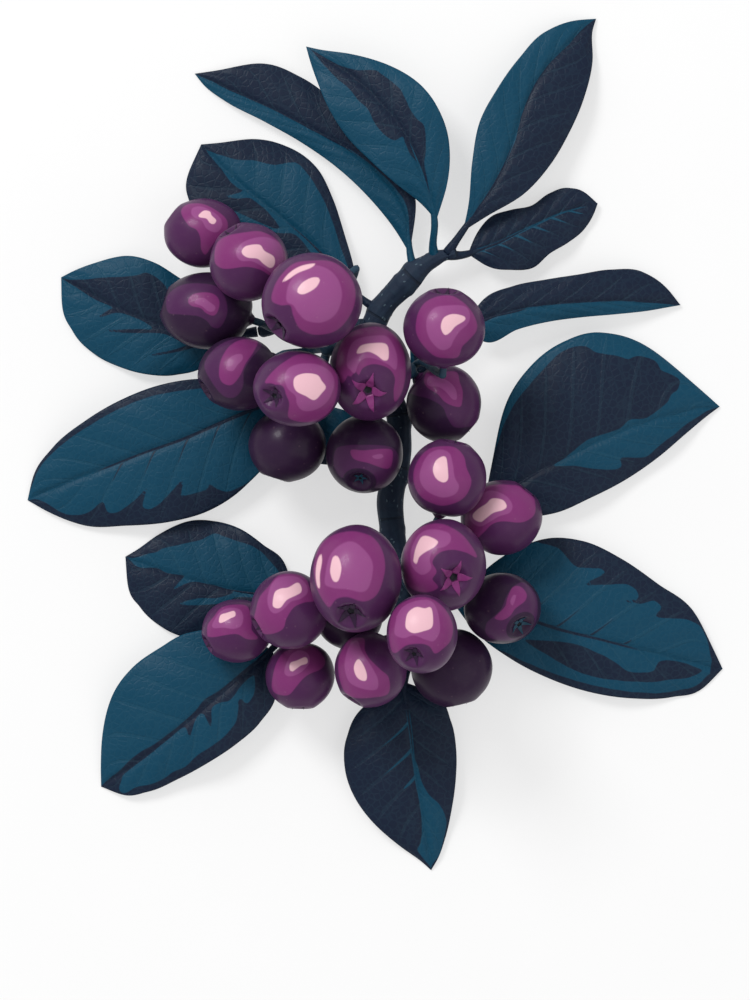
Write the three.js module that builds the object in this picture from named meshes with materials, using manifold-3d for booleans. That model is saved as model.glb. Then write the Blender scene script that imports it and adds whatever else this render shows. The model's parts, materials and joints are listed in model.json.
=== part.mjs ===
// A sprig of black chokeberry lying on a table: one woody twig, two side spurs,
// two branching fruit stalks, fifteen leaves and twenty-three berries.
// Millimetres, +Z up. Plan positions are set out about the middle of the sprig.
import * as THREE from 'three';
import { mergeVertices } from 'three/addons/utils/BufferGeometryUtils.js';
import Module from 'manifold-3d';

const wasm = await Module();
wasm.setup();

// ---- driving dimensions ----------------------------------------------------
const GAP = 0.3;                  // clearance between neighbouring pieces
const TWIG_SIDES = 10;
const STALK_SIDES = 6;
const PETIOLE_R = 0.6;
const PEDICEL_R = 0.5;            // slender stalk of one berry
const PEDUNCLE_R = 0.85;          // main stem of a fruit cluster
const PEDICEL_STEPS = 10;         // straight lengths in one berry stalk
const ROUTE_ROUNDS = 100;         // passes that lead a stalk clear of the fruit
const LEAD = 1.6;                 // straight length in which a stalk leaves its berry
const BEND_ROOM = 0.4;            // extra room kept where a stalk bends round a berry
const SAG = 0.12;                 // pull that keeps the stalks under the fruit
const MOST_UP = 0.12;             // a stalk leaves level, so that the calyx faces aside
const MOST_DOWN = -0.22;
const BERRY_SIDES = 12;
const BLADE_THICK = 0.4;          // leaf blade halfway between midrib and margin
const RIB_DEPTH = 0.7;            // midrib standing below the blade
const CALYX_R = 0.36;             // calyx basin radius, in berry radii

// Share of the blade's length at which its widths are given, base to tip.
const STATIONS = [0.1, 0.25, 0.4, 0.55, 0.7, 0.85, 0.95];

// Twig: x, y, height and radius of its axis, growing end first, cut end last.
const TWIG = [
  [9.9, 26.5, 4.1, 0.9],
  [8.9, 26.2, 4.0, 1.35],
  [7.2, 25.3, 3.8, 1.45],
  [4.2, 22.5, 3.4, 1.75],
  [1.4, 19.6, 3.0, 1.6],
  [-0.4, 16.1, 2.6, 1.7],
  [0.4, 10.5, 2.3, 1.6],
  [3.1, 4.2, 2.1, 1.65],
  [3.2, -2.1, 2.0, 1.65],
  [2.1, -7.7, 1.95, 1.85],
  [2.7, -14.0, 1.85, 1.7],
  [3.6, -20.2, 1.85, 1.85],
  [4.1, -25.2, 1.8, 1.8],
];

const SPURS = {
  upper_spur: [[-2.6, 16.5, 2.9, 1.05], [-6.0, 17.1, 2.8, 0.9], [-10.4, 17.0, 2.4, 0.95], [-16.4, 15.8, 1.9, 0.85]],
  lower_spur: [[1.2, -21.8, 2.2, 1.05], [-1.5, -22.6, 2.4, 0.9], [-4.6, -23.0, 2.3, 0.9], [-8.0, -22.8, 2.1, 0.85]],
};

// Leaves. base and tip end the blade's chord; left, rib and right are distances
// from the chord at the stations, positive to the left of the way from base to tip.
// z: height of the midrib at base and tip, its arch between, and how the left and
// right halves rise (or, negative, droop) for each millimetre out from the midrib.
const LEAVES = {
  leaf_top_right: {
    base: [12.2, 29.7], tip: [30.9, 59.6],
    left: [1.3, 4.0, 6.1, 6.5, 6.2, 5.0, 2.3],
    rib: [-0.1, -0.2, 0.6, 1.9, 2.3, 1.4, 0.5],
    right: [-1.7, -4.4, -5.4, -5.3, -4.5, -2.7, -0.5],
    petiole: [[10.9, 28.0, 4.6], [11.5, 28.8, 4.8]],
    z: [4.9, 0.3, 1.6, 0.10, -0.06],
  },
  leaf_top_middle: {
    base: [8.5, 31.2], tip: [-9.7, 55.6],
    left: [0.3, 1.5, 2.4, 3.0, 2.7, 1.6, 0.6],
    rib: [-1.2, -2.7, -3.7, -3.7, -3.1, -1.8, -0.6],
    right: [-4.1, -7.9, -9.5, -9.5, -7.7, -4.3, -1.3],
    petiole: [[7.3, 27.8, 4.8], [8.3, 28.8, 5.4]],
    z: [6.2, 3.1, 1.6, -0.04, 0.06],
  },
  leaf_top_left: {
    base: [4.8, 26.6], tip: [-25.3, 51.9],
    left: [-1.3, -2.4, -2.7, -2.2, -1.1, 0.2, 0.4],
    rib: [-4.0, -5.9, -5.8, -4.6, -3.2, -1.6, -0.6],
    right: [-6.0, -8.3, -9.2, -9.6, -9.2, -6.8, -2.2],
    petiole: [[4.3, 25.5, 3.4]],
    z: [3.6, 0.3, 0.2, 0.02, -0.02],
  },
  leaf_twig_end: {
    base: [12.9, 26.6], tip: [31.1, 33.7],
    left: [2.0, 3.7, 3.6, 3.1, 3.8, 3.5, 1.9],
    rib: [-0.1, -0.1, 0.2, 0.4, 0.6, 0.4, 0.1],
    right: [-2.6, -4.3, -5.1, -4.1, -3.6, -2.6, -1.1],
    petiole: [[11.5, 26.2, 3.9]],
    z: [3.2, 0.9, 0.2, -0.10, -0.06],
  },
  leaf_upper_left: {
    base: [-2.4, 20.4], tip: [-24.4, 42.0],
    left: [2.7, 5.2, 6.9, 7.9, 8.2, 7.0, 4.1],
    rib: [-0.5, -0.9, -0.8, -0.4, 0.1, 0.2, 0.1],
    right: [-2.4, -5.1, -7.5, -9.0, -8.4, -5.6, -1.8],
    petiole: [[-1.3, 19.7, 2.9]],
    z: [2.7, 0.3, 0.3, -0.04, -0.10],
  },
  leaf_middle_left: {
    base: [-19.2, 15.3], tip: [-44.0, 23.4],
    left: [5.0, 8.0, 9.2, 9.4, 8.8, 6.7, 3.6],
    rib: [0.7, 1.6, 2.0, 1.9, 1.5, 0.8, 0.3],
    right: [-1.8, -4.0, -5.1, -6.0, -5.7, -3.4, -1.3],
    petiole: [[-17.7, 15.6, 1.9]],
    z: [1.9, 0.3, 0.6, -0.08, 0.05],
  },
  leaf_lower_left: {
    base: [-12.3, 6.4], tip: [-48.7, -7.8],
    left: [5.6, 9.2, 10.6, 10.1, 8.4, 6.0, 2.4],
    rib: [-0.3, -0.2, 0.0, -0.2, -0.2, -0.2, -0.1],
    right: [-3.9, -6.8, -8.2, -8.3, -7.4, -5.5, -2.8],
    petiole: [[-10.1, 15.0, 2.7], [-9.2, 12.8, 3.1], [-10.1, 9.6, 3.3]],
    z: [3.4, 0.2, 2.0, -0.10, 0.06],
  },
  leaf_right_thin: {
    base: [12.2, 16.1], tip: [42.7, 19.5],
    left: [3.6, 5.2, 5.6, 5.8, 6.0, 5.1, 2.4],
    rib: [1.0, 1.7, 1.9, 1.8, 1.4, 0.8, 0.3],
    right: [-2.2, -0.9, -0.3, -0.2, -0.3, -0.3, -0.1],
    petiole: [[3.0, 9.9, 3.2], [5.2, 10.5, 4.5], [9.1, 13.6, 4.9]],
    z: [4.4, 0.6, 1.2, -0.02, -0.25],
  },
  leaf_right_broad: {
    base: [15.0, -9.5], tip: [48.2, 5.3],
    left: [5.3, 12.5, 16.0, 17.2, 16.2, 11.2, 4.0],
    rib: [1.1, 2.0, 2.3, 2.4, 2.2, 1.4, 0.5],
    right: [-2.3, -4.2, -4.3, -4.0, -3.0, -1.4, -0.4],
    petiole: [[4.9, -4.5, 2.1], [7.0, -5.2, 2.2], [11.3, -6.9, 2.3]],
    z: [2.3, 0.3, 1.4, -0.02, -0.12],
  },
  leaf_right_low: {
    base: [10.8, -22.1], tip: [48.6, -31.4],
    left: [6.3, 11.4, 12.7, 11.6, 9.4, 6.8, 2.4],
    rib: [0.2, 0.3, -0.1, -0.1, -0.2, -0.2, -0.1],
    right: [-3.1, -5.7, -7.1, -7.6, -7.1, -5.5, -3.2],
    petiole: [[5.8, -18.6, 2.2], [7.7, -20.7, 2.4]],
    z: [2.3, 0.2, 1.3, -0.04, -0.08],
  },
  leaf_bottom: {
    base: [3.6, -33.0], tip: [7.8, -59.6],
    left: [4.4, 6.0, 6.1, 5.4, 4.2, 2.6, 1.1],
    rib: [0.2, 0.2, 0.0, -0.1, 0.0, 0.0, 0.0],
    right: [-5.6, -8.8, -9.7, -9.1, -7.1, -3.8, -1.1],
    petiole: [[6.6, -23.5, 2.3], [6.7, -27.0, 2.6], [4.8, -30.6, 2.6]],
    z: [2.6, 0.2, 1.2, -0.07, -0.07],
  },
  leaf_low_left: {
    base: [-14.3, -28.7], tip: [-38.4, -47.9],
    left: [4.7, 6.8, 7.1, 6.7, 5.9, 4.6, 2.6],
    rib: [0.0, 0.2, 0.4, 0.5, 0.6, 0.4, 0.1],
    right: [-5.6, -9.2, -10.1, -10.3, -9.0, -5.5, -2.0],
    petiole: [[-9.6, -24.1, 2.6], [-12.0, -25.7, 3.2]],
    z: [4.0, 0.2, 1.6, -0.08, -0.02],
  },
  leaf_mid_low_left: {
    base: [-11.2, -21.5], tip: [-35.0, -15.7],
    left: [3.2, 6.4, 8.3, 9.0, 8.4, 6.4, 3.7],
    rib: [0.3, 0.8, 1.1, 1.1, 0.9, 0.5, 0.2],
    right: [-4.2, -6.2, -7.6, -7.8, -6.9, -4.0, -1.2],
    petiole: [[-9.9, -21.8, 2.0]],
    z: [1.7, 0.2, 0.2, -0.07, -0.03],
  },
  leaf_under_low: {
    base: [-0.2, 1.3], tip: [-11.4, -0.2],
    left: [1.3, 2.6, 3.2, 3.3, 3.0, 2.0, 0.8],
    rib: [-0.1, -0.3, -0.5, -0.6, -0.6, -0.4, -0.1],
    right: [-1.8, -3.5, -4.4, -4.9, -4.3, -2.8, -1.0],
    petiole: [[0.9, 1.5, 2.2]],
    z: [2.0, 0.4, 0.2, -0.05, -0.05],
  },
  leaf_under_upper: {
    base: [6.1, 6.2], tip: [9.1, 21.6],
    left: [1.0, 1.9, 2.5, 3.0, 3.3, 2.8, 1.4],
    rib: [0.3, 0.8, 1.1, 1.1, 0.9, 0.5, 0.2],
    right: [-0.4, -0.5, -0.8, -1.3, -1.7, -1.7, -0.7],
    petiole: [[5.7, 4.0, 2.2]],
    z: [2.3, 1.6, 0.2, -0.04, -0.04],
  },
};

// Berries, undermost first, so that each can rest on those before it.
// at: plan centre; r: half-widths along x, y and z; eye: the way its calyx faces.
const BERRIES = {
  berry_04: { at: [-23.4, 18.6], r: [6.5, 5.4, 5.2] },
  berry_05: { at: [-18.8, 9.7], r: [5.7, 5.4, 5.2] },
  berry_08: { at: [-12.3, -0.1], r: [5.5, 5.0, 5.0] },
  berry_09: { at: [-1.5, -1.4], r: [5.5, 5.5, 5.3], eye: [-0.13, -0.72, 0.68] },
  berry_11: { at: [9.5, 5.7], r: [5.3, 5.5, 5.2] },
  berry_21: { at: [10.6, -31.1], r: [5.7, 5.5, 5.3] },
  berry_22: { at: [17.6, -22.8], r: [5.5, 5.1, 5.1], eye: [0.51, -0.51, 0.69] },
  berry_23: { at: [-3.7, -23.8], r: [4.8, 4.8, 4.8] },
  berry_01: { at: [-23.9, 29.4], r: [5.5, 4.9, 5.0] },
  berry_13: { at: [17.5, -10.2], r: [5.7, 5.3, 5.3] },
  berry_17: { at: [-19.2, -26.0], r: [4.9, 4.6, 4.6] },
  berry_18: { at: [-10.5, -32.2], r: [5.0, 5.0, 4.9] },
  berry_19: { at: [-0.6, -31.2], r: [5.1, 5.3, 5.1] },
  berry_02: { at: [-17.5, 25.1], r: [5.6, 5.5, 5.4] },
  berry_16: { at: [-11.8, -23.1], r: [5.4, 5.6, 5.2] },
  berry_12: { at: [9.9, -4.8], r: [5.5, 5.5, 5.3], eye: [0.2, 0.95, 0.1] },
  berry_07: { at: [-0.7, 9.9], r: [5.8, 7.0, 5.9], eye: [-0.07, -0.43, 0.9] },
  berry_14: { at: [9.4, -16.8], r: [6.0, 6.6, 6.0], eye: [0.27, -0.29, 0.92] },
  berry_06: { at: [-10.8, 7.6], r: [6.2, 5.3, 5.4], eye: [-0.59, -0.23, 0.77] },
  berry_10: { at: [9.5, 16.0], r: [5.8, 5.5, 5.4] },
  berry_15: { at: [-2.7, -18.6], r: [6.6, 7.5, 6.4], eye: [-0.12, -0.7, 0.7] },
  berry_20: { at: [6.4, -26.2], r: [4.9, 5.6, 4.9], eye: [-0.26, -0.58, 0.77] },
  berry_03: { at: [-8.7, 19.7], r: [7.0, 6.7, 6.4], eye: [-0.74, -0.57, 0.34] },
};

// ---- helpers ---------------------------------------------------------------
const vec = (p) => new THREE.Vector3(p[0], p[1], p[2]);

function solid(points, triangles) {
  const geometry = new THREE.BufferGeometry();
  geometry.setAttribute('position', new THREE.Float32BufferAttribute(points.flat(), 3));
  geometry.setIndex(triangles.flat());
  return geometry;
}

// Skin over a row of rings with as many points each, closed at both ends.
function loft(rings) {
  const n = rings[0].length;
  const points = rings.flat();
  const triangles = [];
  for (let i = 0; i + 1 < rings.length; i += 1) {
    for (let k = 0; k < n; k += 1) {
      const a = i * n + k;
      const b = i * n + ((k + 1) % n);
      triangles.push([a, b, b + n], [a, b + n, a + n]);
    }
  }
  const last = (rings.length - 1) * n;
  for (let k = 1; k + 1 < n; k += 1) {
    triangles.push([0, k + 1, k], [last, last + k, last + k + 1]);
  }
  return solid(points, triangles);
}

// Round rod along points of x, y, z and radius.
function rod(path, sides) {
  const at = path.map(vec);
  let side = new THREE.Vector3(0, 0, 1);
  const rings = at.map((p, i) => {
    const ahead = at[Math.min(i + 1, at.length - 1)].clone().sub(at[Math.max(i - 1, 0)]).normalize();
    side = side.clone().addScaledVector(ahead, -side.dot(ahead)).normalize();
    const across = ahead.clone().cross(side);
    const ring = [];
    for (let k = 0; k < sides; k += 1) {
      const turn = (2 * Math.PI * k) / sides;
      const q = p.clone()
        .addScaledVector(side, path[i][3] * Math.cos(turn))
        .addScaledVector(across, path[i][3] * Math.sin(turn));
      ring.push(q.toArray());
    }
    return ring;
  });
  return loft(rings);
}

// ---- leaves ----------------------------------------------------------------
// Points of one leaf at a station: left margin, midrib and right margin.
function bladeLine(leaf, share, left, rib, right) {
  const [bx, by] = leaf.base;
  const dx = leaf.tip[0] - bx;
  const dy = leaf.tip[1] - by;
  const length = Math.hypot(dx, dy);
  const along = [dx / length, dy / length];
  const [zBase, zTip, arch, riseLeft, riseRight] = leaf.z;
  const ribZ = zBase + (zTip - zBase) * share + arch * 4 * share * (1 - share);
  const place = (off, rise) => [
    bx + along[0] * share * length - along[1] * off,
    by + along[1] * share * length + along[0] * off,
    Math.max(ribZ + rise * Math.abs(off - rib), 0),
  ];
  return [place(left, riseLeft), place(rib, 0), place(right, riseRight)];
}

const between = (a, b) => a.map((v, i) => (v + b[i]) / 2);
const raised = (p, dz) => [p[0], p[1], Math.max(p[2] + dz, 0)];

// Ring round the blade: margins are edges, the midrib stands out below.
function bladeRing([left, rib, right], taper) {
  const t = BLADE_THICK * taper;
  const leftMid = between(left, rib);
  const rightMid = between(right, rib);
  return [
    raised(left, t * 0.4),
    raised(leftMid, t),
    raised(rib, t),
    raised(rightMid, t),
    raised(right, t * 0.4),
    rightMid,
    raised(rib, -RIB_DEPTH * taper),
    leftMid,
  ];
}

function petioleRing(p, ahead) {
  const across = new THREE.Vector3(0, 0, 1).cross(ahead).normalize();
  const up = ahead.clone().cross(across);
  return [0, 1, 2, 3, 4, 5, 6, 7].map((k) => {
    const turn = (Math.PI * k) / 4;
    return vec(p)
      .addScaledVector(across, PETIOLE_R * Math.cos(turn))
      .addScaledVector(up, PETIOLE_R * Math.sin(turn))
      .toArray();
  });
}

function leafLines(leaf) {
  return STATIONS.map((share, i) => bladeLine(leaf, share, leaf.left[i], leaf.rib[i], leaf.right[i]));
}

function leafSolid(leaf) {
  const stem = [...leaf.petiole, [...leaf.base, leaf.z[0]]];
  const toTip = new THREE.Vector3(leaf.tip[0] - leaf.base[0], leaf.tip[1] - leaf.base[1], 0).normalize();
  const rings = stem.map((p, i) => {
    if (i === stem.length - 1) {
      return petioleRing(p, toTip);
    }
    const ahead = vec(stem[i + 1]).sub(vec(stem[Math.max(i - 1, 0)])).normalize();
    return petioleRing(p, ahead);
  });
  leafLines(leaf).forEach((line, i) => {
    rings.push(bladeRing(line, 1 - 0.6 * STATIONS[i] ** 2));
  });
  const end = bladeLine(leaf, 1, 0.15, 0, -0.15);
  rings.push(bladeRing(end, 0.35));
  return loft(rings);
}

// ---- stacking --------------------------------------------------------------
// Everything under the fruit, as balls of x, y, z and radius.
function ballsAlong(path, step) {
  const balls = [];
  for (let i = 0; i + 1 < path.length; i += 1) {
    const [a, b] = [path[i], path[i + 1]];
    const n = Math.ceil(Math.hypot(b[0] - a[0], b[1] - a[1], b[2] - a[2]) / step);
    for (let k = 0; k <= n; k += 1) {
      balls.push(a.map((v, j) => v + ((b[j] - v) * k) / n));
    }
  }
  return balls;
}

const underlay = [...ballsAlong(TWIG, 1.0), ...Object.values(SPURS).flatMap((path) => ballsAlong(path, 1.0))];
Object.values(LEAVES).forEach((leaf) => {
  const stem = [...leaf.petiole, [...leaf.base, leaf.z[0]]].map((p) => [...p, PETIOLE_R]);
  underlay.push(...ballsAlong(stem, 0.8));
  const lines = [[0, 0, 0].map(() => [...leaf.base, leaf.z[0]]), ...leafLines(leaf), bladeLine(leaf, 1, 0, 0, 0)];
  for (let i = 0; i + 1 < lines.length; i += 1) {
    for (let k = 0; k <= 4; k += 1) {
      const [l, m, r] = [0, 1, 2].map((j) => lines[i][j].map((v, a) => v + ((lines[i + 1][j][a] - v) * k) / 4));
      underlay.push(...ballsAlong([[...l, BLADE_THICK], [...m, BLADE_THICK], [...r, BLADE_THICK]], 1.2));
    }
  }
});

// Height at which a berry rests on what lies under it.
function restingHeight(berry, placed) {
  const [x, y] = berry.at;
  const [rx, ry, rz] = berry.r;
  let z = rz;
  const restOn = (cx, cy, cz, ax, ay, az) => {
    const off = ((x - cx) / (rx + ax + GAP)) ** 2 + ((y - cy) / (ry + ay + GAP)) ** 2;
    if (off < 1) {
      z = Math.max(z, cz + (rz + az + GAP) * Math.sqrt(1 - off));
    }
  };
  underlay.forEach(([cx, cy, cz, r]) => restOn(cx, cy, cz, r, r, r));
  placed.forEach((b) => restOn(...b.at, b.z, ...b.r));
  return z;
}

const fruit = [];
Object.entries(BERRIES).forEach(([name, berry]) => {
  fruit.push({ name, ...berry, z: restingHeight(berry, fruit) });
});

// ---- fruit stalks ----------------------------------------------------------
// Each stalk springs from just above the twig and forks under its berries.
const STALKS = {
  upper_stalk: { root: [0.2, 13.6, 5.6], forks: [[-6.6, 13.4, 9.5], [4.6, 10.2, 8.6]] },
  lower_stalk: { root: [2.9, -17.0, 5.2], forks: [[-4.2, -17.6, 10.0], [6.6, -22.0, 7.5]] },
};
const FIRST_OF_LOWER = 12;        // berries from this number on hang on the lower stalk

// Moves a point clear of the fruit and of what lies under it.
function moveClear(p, clearance, skip) {
  fruit.forEach((b) => {
    if (b.name === skip) {
      return;
    }
    const reach = new THREE.Vector3(...b.r).addScalar(clearance);
    const off = p.clone().sub(new THREE.Vector3(...b.at, b.z)).divide(reach);
    if (off.length() < 1) {
      off.normalize().multiply(reach);
      p.copy(off.add(new THREE.Vector3(...b.at, b.z)));
    }
  });
  underlay.forEach(([x, y, z, r]) => {
    const off = p.clone().sub(new THREE.Vector3(x, y, z));
    if (off.length() < r + clearance) {
      p.set(x, y, z).add(off.setLength(r + clearance));
    }
  });
  p.z = Math.max(p.z, clearance);
}

// Room left round a point before it meets a berry, in millimetres.
function room(p, skip) {
  return Math.min(...fruit.filter((b) => b.name !== skip).map((b) => {
    const off = p.clone().sub(new THREE.Vector3(...b.at, b.z)).divide(new THREE.Vector3(...b.r));
    return (off.length() - 1) * Math.min(...b.r);
  }));
}

const surfacePoint = (berry, way, out) => {
  const r = new THREE.Vector3(...berry.r);
  const centre = new THREE.Vector3(...berry.at, berry.z);
  const normal = way.clone().divide(r).normalize();
  return centre.addScaledVector(way.clone().multiply(r), 0.94).addScaledVector(normal, out);
};

// The way a berry's stalk leaves it: opposite its calyx where that shows, and
// otherwise towards the fork, on the side with the most room.
function stalkWay(berry, fork) {
  if (berry.eye) {
    return vec(berry.eye).normalize().negate();
  }
  const toFork = fork.clone().sub(new THREE.Vector3(...berry.at, berry.z)).normalize();
  let best = null;
  for (let i = 0; i < 200; i += 1) {
    const z = 1 - (2 * i + 1) / 200;
    const turn = i * Math.PI * (3 - Math.sqrt(5));
    const flat = Math.sqrt(1 - z * z);
    const way = new THREE.Vector3(flat * Math.cos(turn), flat * Math.sin(turn), z);
    const free = Math.min(room(surfacePoint(berry, way, LEAD), berry.name), 2.5);
    const steep = Math.max(z - MOST_UP, MOST_DOWN - z, 0);
    const score = way.dot(toFork) + 0.6 * free - 3 * steep;
    if (!best || score > best.score) {
      best = { way, score };
    }
  }
  return best.way;
}

function route(from, to, steps, clearance, skip) {
  const path = [];
  for (let k = 0; k <= steps; k += 1) {
    path.push(from.clone().lerp(to, k / steps));
  }
  for (let round = 0; round < ROUTE_ROUNDS; round += 1) {
    for (let k = 1; k < steps; k += 1) {
      path[k].lerp(path[k - 1].clone().lerp(path[k + 1], 0.5), 0.5);
      path[k].z -= SAG;
      moveClear(path[k], clearance, skip);
    }
  }
  return path;
}

const rodAlong = (path, radius, sides) => rod(path.map((p) => [...p.toArray(), radius]), sides);

function toManifold(geometry) {
  const bare = geometry.clone();
  bare.deleteAttribute('normal');
  bare.deleteAttribute('uv');
  const merged = mergeVertices(bare, 1e-4);
  return new wasm.Manifold(new wasm.Mesh({
    numProp: 3,
    vertProperties: new Float32Array(merged.attributes.position.array),
    triVerts: new Uint32Array(merged.index.array),
  }));
}

function fromManifold(body) {
  const mesh = body.getMesh();
  const geometry = new THREE.BufferGeometry();
  geometry.setAttribute('position', new THREE.Float32BufferAttribute(mesh.vertProperties, 3));
  geometry.setIndex(Array.from(mesh.triVerts));
  return geometry;
}

function stalkSolid(stalk, berries) {
  const root = vec(stalk.root);
  const forks = stalk.forks.map(vec);
  let body = null;
  const join = (geometry) => {
    const piece = toManifold(geometry);
    body = body ? body.add(piece) : piece;
  };
  forks.forEach((fork) => {
    join(rodAlong(route(root, fork, 3, PEDUNCLE_R + GAP, ''), PEDUNCLE_R, STALK_SIDES));
    const knot = new THREE.IcosahedronGeometry(1.15, 1);
    join(knot.translate(...fork.toArray()));
  });
  join(new THREE.IcosahedronGeometry(1.1, 1).translate(...root.toArray()));
  berries.forEach((berry) => {
    const centre = new THREE.Vector3(...berry.at, berry.z);
    const fork = forks.reduce((a, b) => (a.distanceTo(centre) < b.distanceTo(centre) ? a : b));
    berry.way = stalkWay(berry, fork);
    const end = surfacePoint(berry, berry.way, GAP);
    const lead = surfacePoint(berry, berry.way, LEAD);
    moveClear(lead, PEDICEL_R + GAP, berry.name);
    const path = [...route(fork, lead, PEDICEL_STEPS, PEDICEL_R + GAP + BEND_ROOM, ''), end];
    join(rodAlong(path, PEDICEL_R, STALK_SIDES));
  });
  return fromManifold(body);
}

// ---- berries ---------------------------------------------------------------
// Lathe profile for a berry of radius 1, stalk end below, calyx above.
const BERRY_PROFILE = [
  [0, -0.94], [0.3, -0.95], [0.7, -0.71], [0.96, -0.28], [0.98, 0.2],
  [0.76, 0.65], [CALYX_R + 0.06, 0.93], [CALYX_R - 0.1, 0.86], [0, 0.8],
].map(([x, y]) => new THREE.Vector2(x, y));

function berrySolid(berry) {
  const geometry = new THREE.LatheGeometry(BERRY_PROFILE, BERRY_SIDES);
  const eye = berry.way.clone().negate();
  const turn = new THREE.Quaternion().setFromUnitVectors(new THREE.Vector3(0, 1, 0), eye);
  geometry.applyQuaternion(turn);
  geometry.scale(...berry.r);
  geometry.translate(...berry.at, berry.z);
  return geometry;
}

// ---- assembly --------------------------------------------------------------
const TONES = { wood: 0x24344a, stalk: 0x1c4a5c, leaf: 0x15455b, berry: 0x5a2a5a };
const group = new THREE.Group();
group.name = 'chokeberry_cluster';

function add(name, geometry, tone) {
  const material = new THREE.MeshStandardMaterial({ color: TONES[tone], roughness: 0.6 });
  const mesh = new THREE.Mesh(geometry, material);
  mesh.name = name;
  group.add(mesh);
}

add('twig', rod(TWIG, TWIG_SIDES), 'wood');
Object.entries(SPURS).forEach(([name, path]) => add(name, rod(path, TWIG_SIDES), 'wood'));
Object.entries(LEAVES).forEach(([name, leaf]) => add(name, leafSolid(leaf), 'leaf'));
const onLower = (berry) => Number(berry.name.slice(-2)) >= FIRST_OF_LOWER;
add('upper_stalk', stalkSolid(STALKS.upper_stalk, fruit.filter((b) => !onLower(b))), 'stalk');
add('lower_stalk', stalkSolid(STALKS.lower_stalk, fruit.filter(onLower)), 'stalk');
fruit.forEach((berry) => add(berry.name, berrySolid(berry), 'berry'));

// The origin is the middle of the sprig's underside.
const box = new THREE.Box3().setFromObject(group);
const centre = box.getCenter(new THREE.Vector3());
group.children.forEach((mesh) => mesh.geometry.translate(-centre.x, -centre.y, -box.min.z));

export default group;
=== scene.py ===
"""Looks for a sprig of black chokeberry that lies on a table."""
import json
import math

import bmesh
import bpy
import numpy as np
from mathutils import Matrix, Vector
from bpy.props import FloatProperty, FloatVectorProperty, IntProperty, PointerProperty

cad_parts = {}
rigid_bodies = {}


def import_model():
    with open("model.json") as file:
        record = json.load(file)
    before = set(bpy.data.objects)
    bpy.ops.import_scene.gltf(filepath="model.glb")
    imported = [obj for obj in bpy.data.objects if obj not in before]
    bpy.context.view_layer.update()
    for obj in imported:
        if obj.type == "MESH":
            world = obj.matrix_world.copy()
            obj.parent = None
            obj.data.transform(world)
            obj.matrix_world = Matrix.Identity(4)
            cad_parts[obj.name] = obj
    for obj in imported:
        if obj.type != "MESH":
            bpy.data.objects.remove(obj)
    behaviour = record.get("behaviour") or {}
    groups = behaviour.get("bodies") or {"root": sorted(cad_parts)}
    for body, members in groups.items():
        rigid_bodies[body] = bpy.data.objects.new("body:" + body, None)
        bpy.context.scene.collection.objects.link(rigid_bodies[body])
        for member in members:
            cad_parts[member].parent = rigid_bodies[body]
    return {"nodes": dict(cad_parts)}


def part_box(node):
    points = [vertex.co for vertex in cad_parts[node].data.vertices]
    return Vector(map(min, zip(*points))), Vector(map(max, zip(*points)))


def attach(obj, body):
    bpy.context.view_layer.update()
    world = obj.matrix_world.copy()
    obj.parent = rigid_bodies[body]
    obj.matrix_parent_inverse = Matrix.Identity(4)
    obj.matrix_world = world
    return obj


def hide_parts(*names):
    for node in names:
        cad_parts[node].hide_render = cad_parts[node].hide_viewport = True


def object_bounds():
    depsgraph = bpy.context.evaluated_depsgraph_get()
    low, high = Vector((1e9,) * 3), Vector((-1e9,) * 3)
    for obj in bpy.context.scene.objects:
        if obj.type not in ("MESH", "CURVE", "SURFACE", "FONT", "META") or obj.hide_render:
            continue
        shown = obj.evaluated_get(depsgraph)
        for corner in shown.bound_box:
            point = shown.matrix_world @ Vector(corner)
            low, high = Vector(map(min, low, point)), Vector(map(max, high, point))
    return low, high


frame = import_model()
CAD_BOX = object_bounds()

bl_info = {
    "name": "Chokeberry Sprig",
    "version": (1, 0, 0),
    "blender": (4, 5, 0),
    "location": "View3D > Sidebar > Sprig",
    "description": "Builds the leaves, berries, twig and stalks of a chokeberry sprig",
    "category": "Object",
}

MM = 0.001
NODES = sorted(frame["nodes"])
LEAVES = [n for n in NODES if n.startswith("leaf_")]
BERRIES = [n for n in NODES if n.startswith("berry_")]
WOOD = [n for n in NODES if n == "twig" or n.endswith("_spur")]
STALKS = [n for n in NODES if n.endswith("_stalk")]

LEAF_RING = 8        # points round a leaf's CAD ring
ROD_RING = 10        # points round the twig's and spurs' rings
BLADE_RINGS = 8      # CAD rings in a blade, its tip among them
PLAIN_EYE = 0.36     # skin round a calyx, in berry radii, kept out of the painted lit patches, so the basin keeps the dark painted shade
TEAL_EYE = 0.44      # the same round a teal calyx

FLOOR_REACH = 4000   # half width of the floor, in millimetres
VIEW_TALL = 0.140    # metres of floor that the camera sees from top to bottom
VIEW_LOW = 0.0078    # how far the view's middle lies below the sprig's, in metres
SENSOR = 24.0        # height of the camera's sensor, in millimetres
SKY = 0.62           # strength of the light from all round
KEY = {"place": (-0.50, 0.62, 0.80), "size": (0.36, 0.36), "power": 7.5}
FILL = {"place": (0.9, -0.5, 1.1), "size": (1.4, 1.4), "power": 3.5}
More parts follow.
